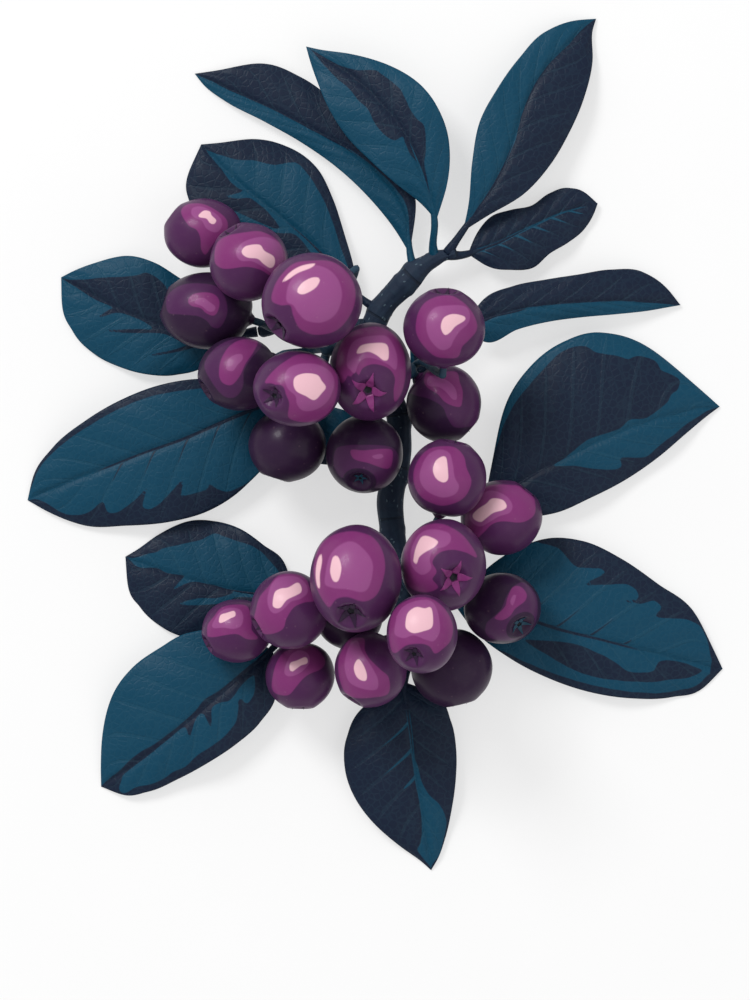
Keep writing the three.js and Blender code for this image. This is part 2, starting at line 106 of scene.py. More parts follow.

# Painted light and shade of each blade, as outlines of (share of length, place across),
# where +1 is the left margin on the way from base to tip, 0 the midrib and -1 the right
# margin. The first list of each blade holds its navy parts, the painted shade. pale: teal
# parts within them, painted light. rib: tone of the midrib line (0 navy, 1 teal) and the
# shares of length between which it shows. sides: how far the side veins are coloured on
# the left and on the right. petiole: 0 where the petiole is teal painted light, not navy shade.
LEAF_PAINT = {
    "leaf_top_right": {
        "painted_shade": [[
            (0, -1.4), (0, 0), (0.2, 0.02), (0.4, -0.03), (0.5, 0), (0.7, 0.03), (0.85, 0), (1.02, 0),
            (1.02, -1.4)
        ]],
    },
    "leaf_top_middle": {
        "painted_shade": [[
            (1, 0), (0.95, 0), (0.9, -0.02), (0.85, -0.06), (0.8, -0.2), (0.765, -0.35), (0.718, -0.62),
            (0.69, -0.61), (0.635, -0.6), (0.58, -0.57), (0.53, -0.5), (0.475, -0.42), (0.425, -0.43),
            (0.39, -0.5), (0.355, -0.46), (0.285, -0.3), (0.235, -0.14), (0.145, -0.06), (0.08, 0),
            (0.15, 0.03), (0.2, 0.02), (0.26, 0.03), (0.315, 0.12), (0.37, 0.1), (0.4, 0.08),
            (0.41, 0.28), (0.455, 0.38), (0.525, 0.38), (0.595, 0.3), (0.65, 0.33), (0.725, 0.31),
            (0.8, 0.36), (0.875, 0.36), (0.92, 0.3)
        ]],
        "petiole": 0,
    },
    "leaf_top_left": {
        "painted_shade": [[
            (0, -1.4), (0, -0.25), (0.15, -0.15), (0.3, 0), (0.45, 0.08), (0.6, 0.04), (0.75, 0),
            (0.9, 0.04), (1.02, 0), (1.02, -1.4)
        ]],
        "petiole": 0,
    },
    "leaf_twig_end": {
        "painted_shade": [[
            (-0.1, -1.6), (-0.1, 1.6), (1.02, 1.6), (1.02, -1.6)
        ]],
        "rib": (1, 0.0, 0.92), "sides": (0.16, 0.42),
    },
    "leaf_upper_left": {
        "painted_shade": [[
            (1, 0), (0.94, -0.18), (0.895, -0.27), (0.83, -0.36), (0.78, -0.5), (0.725, -0.57),
            (0.69, -0.63), (0.655, -0.78), (0.625, -0.84), (0.565, -0.82), (0.49, -0.8), (0.42, -0.81),
            (0.365, -0.78), (0.31, -0.76), (0.26, -0.72), (0.2, -0.66), (0.1, -0.6), (0, -0.6), (0, -1.4),
            (1.02, -1.4)
        ], [
            (1, 0), (0.95, 0.03), (0.895, 0.03), (0.855, 0.04), (0.8, 0.08), (0.745, 0.08), (0.715, 0.04),
            (0.725, 0.15), (0.757, 0.34), (0.71, 0.22), (0.67, 0.07), (0.615, 0.06), (0.555, 0.08),
            (0.48, 0.15), (0.5, 0.23), (0.57, 0.3), (0.67, 0.4), (0.725, 0.5), (0.66, 0.5), (0.55, 0.42),
            (0.46, 0.22), (0.42, 0.09), (0.37, 0.08), (0.32, 0.12), (0.25, 0.2), (0.1, 0.4), (0, 0.5),
            (0, 1.4), (1.02, 1.4)
        ]],
    },
    "leaf_middle_left": {
        "painted_shade": [[
            (1, 0.02), (0.94, -0.28), (0.88, -0.4), (0.8, -0.5), (0.7, -0.56), (0.615, -0.68),
            (0.58, -0.77), (0.54, -0.78), (0.455, -0.73), (0.41, -0.62), (0.25, -0.5), (0, -0.4),
            (0, 0.4), (0.2, 0.32), (0.3, 0.22), (0.37, 0.16), (0.44, 0.2), (0.55, 0.33), (0.695, 0.5),
            (0.56, 0.27), (0.46, 0.14), (0.455, 0.1), (0.5, 0.05), (0.585, 0.04), (0.66, 0.1),
            (0.74, 0.33), (0.7, 0.1), (0.68, 0.03), (0.76, 0.05), (0.83, 0.06), (0.9, 0.04)
        ], [
            (0.42, 0.63), (0.3, 0.5), (0.16, 0.3), (0.18, 0.22), (0.3, 0.42)
        ]],
    },
    "leaf_lower_left": {
        "painted_shade": [[
            (0, -1.3), (1, -1.3), (0.97, -0.85), (0.9, -0.9), (0.8, -0.88), (0.7, -0.87), (0.6, -0.87),
            (0.5, -0.87), (0.4, -0.84), (0.3, -0.8), (0.2, -0.8), (0, -0.85)
        ], [
            (1.02, 0.1), (0.98, 0.2), (0.94, 0.5), (0.9, 0.78), (0.85, 0.76), (0.8, 0.66), (0.75, 0.53),
            (0.747, 0.72), (0.72, 0.76), (0.69, 0.71), (0.63, 0.58), (0.585, 0.47), (0.615, 0.66),
            (0.62, 0.74), (0.6, 0.77), (0.56, 0.72), (0.5, 0.59), (0.455, 0.5), (0.48, 0.68),
            (0.49, 0.745), (0.47, 0.71), (0.42, 0.72), (0.385, 0.73), (0.37, 0.69), (0.35, 0.8),
            (0.32, 0.9), (0.26, 0.97), (0.22, 1.05), (0.3, 1.4), (0.7, 1.4), (1.03, 1.4)
        ]],
        "rib": (0, 0.0, 0.74), "sides": (0.3, 0.0),
    },
    "leaf_right_thin": {
        "painted_shade": [[
            (0, 1.5), (0, 0), (0.15, 0), (0.3, 0.04), (0.5, 0), (0.75, 0.03), (0.9, 0), (1.02, 0),
            (1.02, 1.5)
        ]],
    },
    "leaf_right_broad": {
        "painted_shade": [[
            (0, 1.4), (0.08, 1.4), (0.13, 1), (0.2, 0.9), (0.3, 0.87), (0.4, 0.87), (0.5, 0.91),
            (0.57, 0.92), (0.62, 0.88), (0.655, 0.79), (0.72, 0.74), (0.75, 0.71), (0.775, 0.75),
            (0.8, 0.78), (0.845, 0.8), (0.85, 0.67), (0.88, 0.7), (0.9, 0.68), (0.878, 0.42), (0.85, 0.3),
            (0.81, 0.15), (0.725, 0.05), (0.665, 0.08), (0.62, 0.04), (0.575, 0.04), (0.49, 0.06),
            (0.435, 0.04), (0.375, 0), (0.32, -0.04), (0.4, -0.25), (0.465, -0.5), (0.53, -0.68),
            (0.56, -0.68), (0.568, -0.52), (0.605, -0.62), (0.66, -0.8), (0.715, -0.76), (0.765, -0.73),
            (0.805, -0.72), (0.86, -0.62), (0.925, -0.5), (1, -0.3), (1, -1.4), (0, -1.4)
        ]],
    },
    "leaf_right_low": {
        "painted_shade": [[
            (0.2, 1.3), (0.235, 1), (0.32, 0.88), (0.355, 0.8), (0.4, 0.71), (0.45, 0.74), (0.488, 0.78),
            (0.503, 0.74), (0.445, 0.55), (0.51, 0.62), (0.56, 0.7), (0.6, 0.76), (0.635, 0.74),
            (0.64, 0.64), (0.58, 0.52), (0.65, 0.6), (0.68, 0.68), (0.705, 0.75), (0.733, 0.71),
            (0.722, 0.55), (0.785, 0.64), (0.85, 0.8), (0.89, 0.93), (0.93, 0.85), (0.955, 0.4),
            (0.958, -0.2), (0.97, -0.5), (1.03, -0.6), (1.03, 1.3)
        ], [
            (0.285, -0.45), (0.335, -0.35), (0.405, -0.23), (0.48, -0.2), (0.54, -0.25), (0.605, -0.32),
            (0.665, -0.46), (0.705, -0.46), (0.755, -0.38), (0.765, -0.25), (0.775, -0.13), (0.82, -0.05),
            (0.885, -0.08), (0.93, -0.2), (0.89, -0.45), (0.83, -0.52), (0.755, -0.62), (0.65, -0.67),
            (0.545, -0.7), (0.45, -0.65), (0.37, -0.56), (0.305, -0.5)
        ], [
            (0.2, -0.98), (0.3, -0.9), (0.4, -0.87), (0.5, -0.86), (0.7, -0.86), (0.8, -0.86),
            (0.88, -0.8), (0.93, -0.7), (0.96, -0.4), (1.03, -0.3), (1.03, -1.4), (0.2, -1.4)
        ]],
        "rib": (0, 0.0, 0.7), "sides": (0.3, 0.08),
    },
    "leaf_bottom": {
        "painted_shade": [[
            (-0.1, -1.6), (-0.1, 1.6), (1.02, 1.6), (1.02, -1.6)
        ]],
        "pale": [[
            (0.4, 0), (0.5, 0), (0.555, -0.01), (0.67, -0.02), (0.77, -0.06), (0.845, -0.2),
            (0.89, -0.52), (0.955, -0.5), (1, 0), (0.945, 0.88), (0.865, 0.92), (0.79, 0.93),
            (0.745, 0.85), (0.67, 0.58), (0.6, 0.26), (0.52, 0.12), (0.455, 0.08)
        ]],
        "rib": (1, 0.2, 0.6), "sides": (0.0, 0.45),
    },
    "leaf_low_left": {
        "painted_shade": [[
            (0, -0.06), (0.1, -0.06), (0.2, -0.05), (0.3, -0.05), (0.38, -0.09), (0.45, -0.05),
            (0.55, -0.04), (0.63, -0.05), (0.7, -0.07), (0.78, -0.12), (0.84, -0.12), (0.9, -0.1),
            (1.02, -0.05), (1.02, 1.4), (0.5, 1.4), (0, 1.4)
        ]],
        "pale": [[
            (0.14, 0.18), (0.17, 0.4), (0.2, 0.5), (0.245, 0.52), (0.25, 0.36), (0.27, 0.36),
            (0.285, 0.45), (0.33, 0.62), (0.37, 0.68), (0.42, 0.72), (0.51, 0.72), (0.57, 0.72),
            (0.64, 0.8), (0.7, 0.77), (0.79, 0.8), (0.88, 0.7), (0.94, 0.85), (0.935, 0.5), (0.9, 0.18),
            (0.87, 0.08), (0.8, 0.03), (0.7, 0.02), (0.6, 0.02), (0.53, 0.04), (0.545, 0.3), (0.48, 0.08),
            (0.43, 0.06), (0.435, 0.38), (0.38, 0.1), (0.33, 0.14), (0.29, 0.22), (0.22, 0.16)
        ]],
    },
    "leaf_mid_low_left": {
        "painted_shade": [[
            (-0.1, -1.6), (-0.1, 1.6), (1.02, 1.6), (1.02, -1.6)
        ]],
        "pale": [[
            (1, 0), (0.95, -0.25), (0.89, -0.42), (0.84, -0.44), (0.795, -0.53), (0.715, -0.56),
            (0.615, -0.66), (0.565, -0.76), (0.53, -0.81), (0.485, -0.8), (0.4, -0.8), (0.355, -0.82),
            (0.3, -0.85), (0.24, -0.84), (0.2, -0.78), (0.1, -0.6), (0, -0.3), (0, 0.1), (0.2, 0.1),
            (0.32, 0.12), (0.385, 0.26), (0.48, 0.35), (0.635, 0.46), (0.54, 0.27), (0.425, 0.18),
            (0.35, 0.03), (0.435, -0.02), (0.51, -0.02), (0.58, 0), (0.635, 0.1), (0.69, 0.26),
            (0.66, 0.05), (0.645, -0.04), (0.68, -0.03), (0.755, 0), (0.815, -0.02), (0.9, 0.12),
            (0.945, 0.14)
        ]],
    },
    "leaf_under_low": {
        "painted_shade": [[
            (0, 0.6), (1.02, 0.5), (1.02, 1.5), (0, 1.5)
        ]],
    },
    "leaf_under_upper": {
        "painted_shade": [[
            (0, -1.5), (0, 0.5), (0.3, 0.5), (0.45, 0.8), (0.6, 1), (0.75, 1.5), (1.02, 1.5), (1.02, -1.5)
        ]],
    },
}

# Painted light and shade on each berry, seen from above, in shares of its half width: outlines of
# the mid tone where light falls, the lighter painted light within it and the painted highlight within
# that; outside them the skin keeps the dark painted shade. deep is 1 on the darkest fruit, painted a
# tone darker all over as fruit in shade. star is the calyx's colour: 0 dark, 1 magenta, 2 teal. Where the
# outlines cover only part of the fruit, laid holds the middle of that part, from the
# berry's own, and its half widths, all in millimetres.
BERRY_PAINT = {
    "berry_01": {
        "mid": [
            (-0.55, 0.57), (-0.47, 0.77), (-0.27, 0.84), (0.03, 0.81), (0.33, 0.63), (0.58, 0.37),
            (0.6, 0.07), (0.4, -0.1), (0.23, -0.37), (0.07, -0.65), (-0.05, -0.5), (-0.07, -0.17),
            (-0.17, 0.07), (-0.38, 0.21)
        ],
        "light": [
            (-0.3, 0.53), (-0.27, 0.7), (-0.07, 0.75), (0.2, 0.63), (0.43, 0.4), (0.47, 0.17),
            (0.33, 0.01), (0.1, 0.1), (-0.03, 0.33), (-0.2, 0.41)
        ],
        "painted_highlight": [[
            (-0.12, 0.49), (0.02, 0.63), (0.17, 0.6), (0.22, 0.48), (0.33, 0.35), (0.27, 0.24),
            (0.17, 0.28), (0.09, 0.4), (-0.07, 0.43)
        ]],
    },
    "berry_02": {
        "mid": [
            (-0.87, 0.07), (-0.82, 0.43), (-0.57, 0.63), (-0.1, 0.75), (0.3, 0.77), (0.7, 0.57),
            (0.9, 0.27), (0.93, -0.13), (0.83, -0.47), (0.57, -0.37), (0.3, -0.2), (-0.1, -0.13),
            (-0.57, -0.19), (-0.8, -0.1)
        ],
        "light": [
            (-0.31, 0.23), (-0.17, 0.47), (0.17, 0.61), (0.5, 0.61), (0.77, 0.47), (0.87, 0.13),
            (0.8, -0.13), (0.63, -0.3), (0.37, -0.13), (0.1, 0), (-0.2, 0.03)
        ],
        "painted_highlight": [[
            (-0.17, 0.23), (-0.07, 0.39), (0.27, 0.43), (0.4, 0.27), (0.63, 0.13), (0.65, -0.07),
            (0.55, -0.16), (0.37, -0.05), (0.23, 0.07), (-0.03, 0.1)
        ]],
    },
    "berry_03": {
        "mid": [
            (-0.81, 0), (-0.77, 0.27), (-0.63, 0.53), (-0.37, 0.77), (-0.03, 0.83), (0.43, 0.8),
            (0.73, 0.53), (0.85, 0.13), (0.77, -0.27), (0.5, -0.6), (0.1, -0.72), (-0.23, -0.61),
            (-0.37, -0.33), (-0.43, -0.1), (-0.63, -0.1)
        ],
        "light": [
            (-0.51, 0), (-0.47, 0.33), (-0.3, 0.57), (0.03, 0.73), (0.33, 0.63), (0.53, 0.4),
            (0.58, 0.07), (0.47, -0.27), (0.2, -0.45), (-0.1, -0.43), (-0.27, -0.27), (-0.37, -0.1)
        ],
        "painted_highlight": [[
            (-0.3, 0.19), (-0.2, 0.37), (0, 0.48), (0.15, 0.45), (0.07, 0.27), (-0.17, 0.13)
        ], [
            (-0.6, 0.39), (-0.47, 0.57), (-0.23, 0.72), (0.05, 0.77), (-0.03, 0.68), (-0.3, 0.57),
            (-0.47, 0.45)
        ]],
    },
    "berry_04": {
        "laid": [
            (-0.8, 0.1), (5.7, 5.3)
        ],
        "mid": [
            (-0.8, -0.07), (-0.82, 0.33), (-0.57, 0.6), (-0.1, 0.68), (0.37, 0.6), (0.6, 0.27),
            (0.63, -0.13), (0.47, -0.47), (0.27, -0.47), (0.13, -0.3), (-0.1, -0.17), (-0.5, -0.13)
        ],
        "light": [
            (-0.31, 0.23), (-0.2, 0.39), (0.07, 0.45), (0.33, 0.39), (0.45, 0.2), (0.4, -0.07),
            (0.3, -0.17), (0.13, -0.1), (0, 0.03), (-0.23, 0.1)
        ],
        "painted_highlight": [[
            (-0.15, 0.17), (-0.1, 0.28), (0.07, 0.3), (0.2, 0.2), (0.35, 0.07), (0.31, -0.05),
            (0.18, -0.05), (0.03, 0.08)
        ]],
        "deep": 1,
    },
    "berry_05": {
        "mid": [
            (-0.83, 0.2), (-0.7, 0.53), (-0.43, 0.8), (-0.1, 0.93), (0.27, 0.95), (0.53, 0.86),
            (0.5, 0.67), (0.3, 0.4), (0.13, 0.07), (0.1, -0.33), (-0.07, -0.6), (-0.3, -0.63),
            (-0.5, -0.47), (-0.67, -0.2)
        ],
        "light": [
            (-0.49, 0.07), (-0.43, 0.4), (-0.23, 0.73), (0.03, 0.89), (0.3, 0.91), (0.45, 0.84),
            (0.35, 0.57), (0.17, 0.27), (0.03, -0.07), (-0.17, -0.3), (-0.37, -0.27), (-0.47, -0.13)
        ],
        "painted_highlight": [[
            (-0.31, 0.13), (-0.27, 0.37), (-0.1, 0.5), (0.07, 0.51), (0.09, 0.37), (-0.03, 0.23),
            (-0.13, 0.07), (-0.25, 0.07)
        ]],
        "deep": 1,
    },
    "berry_06": {
        "mid": [
            (-0.7, 0.13), (-0.57, 0.4), (-0.3, 0.67), (0.03, 0.88), (0.37, 0.88), (0.68, 0.67),
            (0.9, 0.4), (0.94, 0.07), (0.87, -0.33), (0.68, -0.67), (0.37, -0.87), (-0.03, -0.85),
            (-0.2, -0.73), (-0.17, -0.4), (-0.23, -0.17), (-0.33, 0.07)
        ],
        "light": [
            (-0.27, 0.27), (-0.2, 0.5), (0.03, 0.63), (0.43, 0.63), (0.73, 0.47), (0.86, 0.2),
            (0.8, -0.13), (0.63, -0.4), (0.37, -0.57), (0.13, -0.57), (0, -0.4), (-0.03, -0.2), (-0.2, 0)
        ],
        "painted_highlight": [[
            (-0.07, 0.1), (-0.03, 0.3), (0.2, 0.39), (0.47, 0.35), (0.57, 0.2), (0.67, 0.03),
            (0.57, -0.13), (0.4, -0.31), (0.2, -0.2), (0, -0.08)
        ]],
    },
    "berry_07": {
        "mid": [
            (-0.83, 0.2), (-0.73, 0.53), (-0.5, 0.77), (-0.17, 0.88), (0.23, 0.9), (0.57, 0.75),
            (0.8, 0.47), (0.87, 0.07), (0.8, -0.33), (0.62, -0.6), (0.58, -0.4), (0.6, -0.13),
            (0.43, 0.07), (0.1, 0.15), (-0.17, 0.07), (-0.27, -0.07), (-0.35, 0), (-0.47, -0.1),
            (-0.53, -0.07), (-0.67, -0.23), (-0.8, -0.07)
        ],
        "light": [
            (-0.57, 0.13), (-0.53, 0.4), (-0.37, 0.63), (-0.03, 0.72), (0.37, 0.72), (0.57, 0.53),
            (0.67, 0.27), (0.63, 0.03), (0.43, 0.15), (0.17, 0.25), (-0.1, 0.27), (-0.27, 0.17),
            (-0.37, -0.03), (-0.47, 0.03)
        ],
        "painted_highlight": [[
            (-0.33, 0.37), (-0.23, 0.52), (0.03, 0.57), (0.4, 0.55), (0.45, 0.27), (0.33, 0.23),
            (0.17, 0.33), (-0.03, 0.4), (-0.23, 0.37)
        ]],
        "star": 1,
    },
    "berry_08": {"deep": 1},
    "berry_09": {
        "mid": [
            (-0.77, 0), (-0.67, 0.17), (-0.37, 0.23), (0.03, 0.23), (0.5, 0.21), (0.77, 0.13),
            (0.9, -0.13), (0.83, -0.5), (0.6, -0.8), (0.27, -0.85), (0.1, -0.6), (-0.13, -0.5),
            (-0.4, -0.55), (-0.6, -0.6), (-0.77, -0.33)
        ],
        "light": [
            (-0.35, 0.1), (0, 0.09), (0.43, 0.13), (0.71, 0.1), (0.73, -0.13), (0.67, -0.33),
            (0.5, -0.37), (0.1, -0.23), (-0.27, -0.13)
        ],
        "painted_highlight": [[
            (0.2, -0.05), (0.43, 0), (0.49, -0.07), (0.4, -0.12), (0.27, -0.12)
        ]],
        "deep": 1, "star": 2,
    },
    "berry_10": {
        "mid": [
            (-0.71, 0.03), (-0.63, 0.4), (-0.43, 0.67), (-0.1, 0.79), (0.23, 0.77), (0.57, 0.53),
            (0.77, 0.2), (0.78, -0.07), (0.57, -0.33), (0.43, -0.47), (0.33, -0.73), (0.1, -0.77),
            (-0.23, -0.72), (-0.5, -0.47), (-0.67, -0.2)
        ],
        "light": [
            (-0.45, 0.03), (-0.4, 0.3), (-0.23, 0.5), (0.1, 0.55), (0.5, 0.53), (0.62, 0.33), (0.57, 0.1),
            (0.37, -0.1), (0.23, -0.3), (0.13, -0.5), (-0.07, -0.57), (-0.27, -0.43), (-0.4, -0.23)
        ],
        "painted_highlight": [[
            (-0.09, 0), (-0.02, 0.23), (0.2, 0.33), (0.47, 0.28), (0.49, 0.18), (0.27, 0.03),
            (0.13, -0.13), (0, -0.19)
        ]],
    },
    "berry_11": {
        "mid": [
            (-0.99, 0.33), (-0.83, 0.73), (-0.5, 1.03), (0.03, 1.08), (0.5, 0.87), (0.87, 0.4),
            (0.95, -0.13), (0.88, -0.5), (0.57, -0.61), (0.27, -0.6), (0.1, -0.37), (-0.03, -0.1),
            (-0.37, 0.1), (-0.77, 0.2)
        ],
        "light": [
            (-0.53, 0.6), (-0.4, 0.87), (-0.03, 0.8), (0.33, 0.8), (0.43, 0.53), (0.51, 0.27),
            (0.47, -0.07), (0.3, -0.09), (0.03, 0.03), (-0.17, 0.23), (-0.43, 0.4)
        ],
        "painted_highlight": [[
            (-0.45, 0.53), (-0.37, 0.7), (-0.1, 0.65), (0.17, 0.53), (0.33, 0.33), (0.35, 0.1),
            (0.23, 0.1), (0.07, 0.27), (-0.13, 0.41), (-0.37, 0.43)
        ]],
        "deep": 1,
    },
    "berry_12": {
        "mid": [
            (-0.85, 0), (-0.8, 0.33), (-0.6, 0.63), (-0.3, 0.79), (0.17, 0.79), (0.43, 0.57), (0.5, 0.27),
            (0.62, -0.07), (0.5, -0.4), (0.23, -0.61), (-0.17, -0.68), (-0.57, -0.53), (-0.77, -0.3)
        ],
        "light": [
            (-0.69, 0.07), (-0.6, 0.4), (-0.43, 0.63), (-0.17, 0.73), (0.07, 0.63), (0.15, 0.33),
            (0.2, 0.03), (0.31, -0.2), (0.2, -0.4), (-0.1, -0.48), (-0.43, -0.37), (-0.63, -0.17)
        ],
        "painted_highlight": [[
            (-0.35, 0.2), (-0.29, 0.43), (-0.13, 0.55), (-0.02, 0.52), (0.02, 0.2), (0.02, -0.03),
            (-0.1, -0.1), (-0.27, 0)
        ]],
    },
    "berry_13": {
        "mid": [
            (-0.88, -0.2), (-0.86, 0.07), (-0.77, 0.33), (-0.57, 0.6), (-0.33, 0.85), (0.17, 0.88),
            (0.57, 0.75), (0.8, 0.47), (0.82, 0.13), (0.63, -0.07), (0.37, -0.13), (0.03, -0.1),
            (-0.23, -0.17), (-0.43, -0.37), (-0.63, -0.57), (-0.8, -0.5)
        ],
        "light": [
            (-0.77, 0.07), (-0.63, 0.4), (-0.43, 0.67), (-0.17, 0.72), (0.13, 0.57), (0.27, 0.33),
            (0.2, 0.13), (-0.07, 0.03), (-0.33, -0.13), (-0.53, -0.22), (-0.7, -0.13)
        ],
        "painted_highlight": [[
            (-0.7, 0.07), (-0.57, 0.23), (-0.37, 0.37), (-0.23, 0.51), (0.03, 0.47), (0.13, 0.3),
            (0.03, 0.2), (-0.2, 0.13), (-0.4, -0.03), (-0.51, -0.11), (-0.65, -0.05)
        ]],
    },
    "berry_14": {
        "mid": [
            (-0.93, 0.07), (-0.88, 0.47), (-0.68, 0.75), (-0.37, 0.88), (0.03, 0.86), (0.4, 0.67),
            (0.63, 0.43), (0.77, 0.17), (0.5, 0.27), (0.2, 0.33), (-0.1, 0.27), (-0.27, 0.07),
            (-0.17, -0.13), (-0.27, -0.3), (-0.13, -0.47), (-0.37, -0.57), (-0.7, -0.53), (-0.88, -0.33)
        ],
        "light": [
            (-0.77, 0.13), (-0.73, 0.43), (-0.57, 0.67), (-0.3, 0.77), (0.1, 0.7), (0.17, 0.53),
            (0.03, 0.4), (-0.23, 0.33), (-0.33, 0.13), (-0.3, -0.07), (-0.5, -0.2), (-0.7, -0.07)
        ],
        "painted_highlight": [[
            (-0.7, 0.13), (-0.65, 0.37), (-0.53, 0.6), (-0.37, 0.63), (-0.13, 0.52), (-0.2, 0.4),
            (-0.43, 0.28), (-0.57, 0.17), (-0.62, 0.03), (-0.69, 0.07)
        ]],
        "star": 1,
    },
    "berry_15": {
        "mid": [
            (-0.9, 0), (-0.89, 0.33), (-0.74, 0.65), (-0.43, 0.83), (-0.03, 0.88), (0.37, 0.77),
            (0.6, 0.47), (0.62, 0.07), (0.47, -0.27), (0.2, -0.4), (-0.17, -0.33), (-0.4, -0.37),
            (-0.57, -0.53), (-0.75, -0.33)
        ],
        "light": [
            (-0.67, -0.07), (-0.6, 0.33), (-0.43, 0.57), (-0.1, 0.69), (0.2, 0.53), (0.37, 0.27),
            (0.33, -0.07), (0.17, -0.23), (-0.17, -0.19), (-0.5, -0.17)
        ],
        "painted_highlight": [[
            (-0.55, 0.2), (-0.49, 0.4), (-0.38, 0.41), (-0.31, 0.2), (-0.37, -0.03), (-0.47, -0.05),
            (-0.54, 0.07)
        ], [
            (-0.87, 0.07), (-0.83, 0.33), (-0.75, 0.46), (-0.73, 0.33), (-0.77, 0.07), (-0.77, -0.17),
            (-0.83, -0.13)
        ]],
    },
    "berry_16": {
        "mid": [
            (-0.87, -0.33), (-0.86, 0), (-0.77, 0.33), (-0.53, 0.63), (-0.3, 0.88), (0.1, 0.93),
            (0.4, 0.81), (0.53, 0.53), (0.65, 0.27), (0.37, 0.21), (0.1, 0.08), (-0.07, -0.2),
            (-0.17, -0.47), (-0.5, -0.61), (-0.75, -0.53)
        ],
        "light": [
            (-0.57, 0.27), (-0.5, 0.6), (-0.33, 0.82), (-0.1, 0.88), (0.2, 0.86), (0.4, 0.7),
            (0.47, 0.47), (0.27, 0.3), (0.03, 0.23), (-0.17, 0.03), (-0.37, -0.07), (-0.51, 0.03)
        ],
        "painted_highlight": [[
            (-0.43, 0.17), (-0.38, 0.47), (-0.23, 0.57), (-0.03, 0.6), (0.2, 0.72), (0.3, 0.63),
            (0.31, 0.48), (0.17, 0.39), (-0.07, 0.27), (-0.23, 0.08), (-0.38, 0.08)
        ]],
    },
    "berry_17": {
        "mid": [
            (-0.85, -0.1), (-0.83, 0.2), (-0.63, 0.47), (-0.43, 0.73), (-0.1, 0.83), (0.27, 0.8),
            (0.4, 0.53), (0.43, 0.27), (0.43, 0.03), (0.6, -0.23), (0.3, -0.25), (0.03, -0.1),
            (-0.3, -0.13), (-0.63, -0.2), (-0.8, -0.19)
        ],
        "light": [
            (-0.71, 0.17), (-0.6, 0.4), (-0.43, 0.63), (-0.17, 0.73), (0.1, 0.67), (0.19, 0.43),
            (0.13, 0.17), (-0.07, 0.07), (-0.37, 0.1), (-0.63, 0.08)
        ],
        "painted_highlight": [[
            (-0.5, 0.3), (-0.45, 0.5), (-0.27, 0.57), (-0.07, 0.63), (-0.03, 0.48), (-0.17, 0.4),
            (-0.33, 0.3), (-0.45, 0.25)
        ]],
    },
    "berry_18": {
        "mid": [
            (-0.82, -0.3), (-0.77, 0.07), (-0.63, 0.47), (-0.43, 0.7), (-0.1, 0.8), (0.17, 0.88),
            (0.47, 0.78), (0.7, 0.53), (0.73, 0.33), (0.57, 0.17), (0.3, 0.07), (0.1, -0.07),
            (-0.1, -0.3), (-0.3, -0.53), (-0.5, -0.57), (-0.73, -0.5)
        ],
        "light": [
            (-0.45, 0.13), (-0.37, 0.4), (-0.23, 0.63), (0, 0.73), (0.23, 0.63), (0.27, 0.4), (0.13, 0.2),
            (-0.03, 0.07), (-0.23, -0.01), (-0.4, 0.01)
        ],
        "painted_highlight": [[
            (-0.3, 0.2), (-0.27, 0.37), (-0.1, 0.43), (0.17, 0.53), (0.21, 0.37), (0.03, 0.3),
            (-0.11, 0.2), (-0.23, 0.12)
        ]],
    },
    "berry_19": {
        "mid": [
            (-0.9, -0.07), (-0.87, 0.33), (-0.71, 0.65), (-0.53, 0.82), (-0.2, 0.83), (-0.17, 0.53),
            (0, 0.27), (0.27, 0.03), (0.5, -0.2), (0.49, -0.63), (0.03, -0.73), (-0.37, -0.73),
            (-0.62, -0.66), (-0.81, -0.43)
        ],
        "light": [
            (-0.73, 0.07), (-0.67, 0.47), (-0.53, 0.71), (-0.37, 0.77), (-0.27, 0.53), (-0.1, 0.27),
            (0.07, 0.03), (0.2, -0.23), (0.18, -0.5), (-0.1, -0.52), (-0.43, -0.43), (-0.63, -0.27)
        ],
        "painted_highlight": [[
            (-0.47, 0.03), (-0.43, 0.2), (-0.33, 0.29), (-0.2, 0.13), (-0.11, -0.1), (-0.13, -0.27),
            (-0.27, -0.27), (-0.4, -0.17)
        ]],
    },
    "berry_20": {
        "mid": [
            (-0.93, 0.07), (-0.86, 0.45), (-0.68, 0.71), (-0.3, 0.89), (0.1, 0.93), (0.43, 0.81),
            (0.73, 0.53), (0.87, 0.2), (0.82, -0.13), (0.63, -0.33), (0.37, -0.48), (0.2, -0.3),
            (-0.03, -0.23), (-0.43, -0.27), (-0.75, -0.47), (-0.88, -0.32)
        ],
        "light": [
            (-0.77, 0.13), (-0.7, 0.47), (-0.5, 0.71), (-0.17, 0.84), (0.17, 0.86), (0.35, 0.75),
            (0.47, 0.47), (0.5, 0.07), (0.33, -0.17), (0.1, -0.13), (-0.23, -0.03), (-0.5, -0.1),
            (-0.73, -0.03)
        ],
        "painted_highlight": [[
            (-0.47, 0.23), (-0.4, 0.53), (-0.17, 0.68), (0.07, 0.65), (0.25, 0.67), (0.31, 0.4),
            (0.27, 0.17), (0.03, 0.08), (-0.23, 0.03), (-0.4, 0.1)
        ]],
    },
    "berry_21": {"deep": 1},
    "berry_22": {
        "mid": [
            (-0.43, -0.67), (-0.4, -0.4), (-0.23, -0.23), (-0.03, 0), (0.1, 0.33), (0.27, 0.6),
            (0.5, 0.73), (0.68, 0.64), (0.88, 0.33), (0.91, -0.07), (0.8, -0.5), (0.57, -0.75),
            (0.17, -0.92), (-0.23, -0.86)
        ],
        "light": [
            (-0.2, -0.27), (-0.1, -0.13), (0.07, 0.07), (0.13, 0.3), (0.27, 0.6), (0.47, 0.61),
            (0.62, 0.4), (0.57, 0.2), (0.33, 0), (0.2, -0.2), (0, -0.32)
        ],
        "painted_highlight": [[
            (0.2, 0.2), (0.27, 0.37), (0.35, 0.37), (0.31, 0.2), (0.25, 0.08)
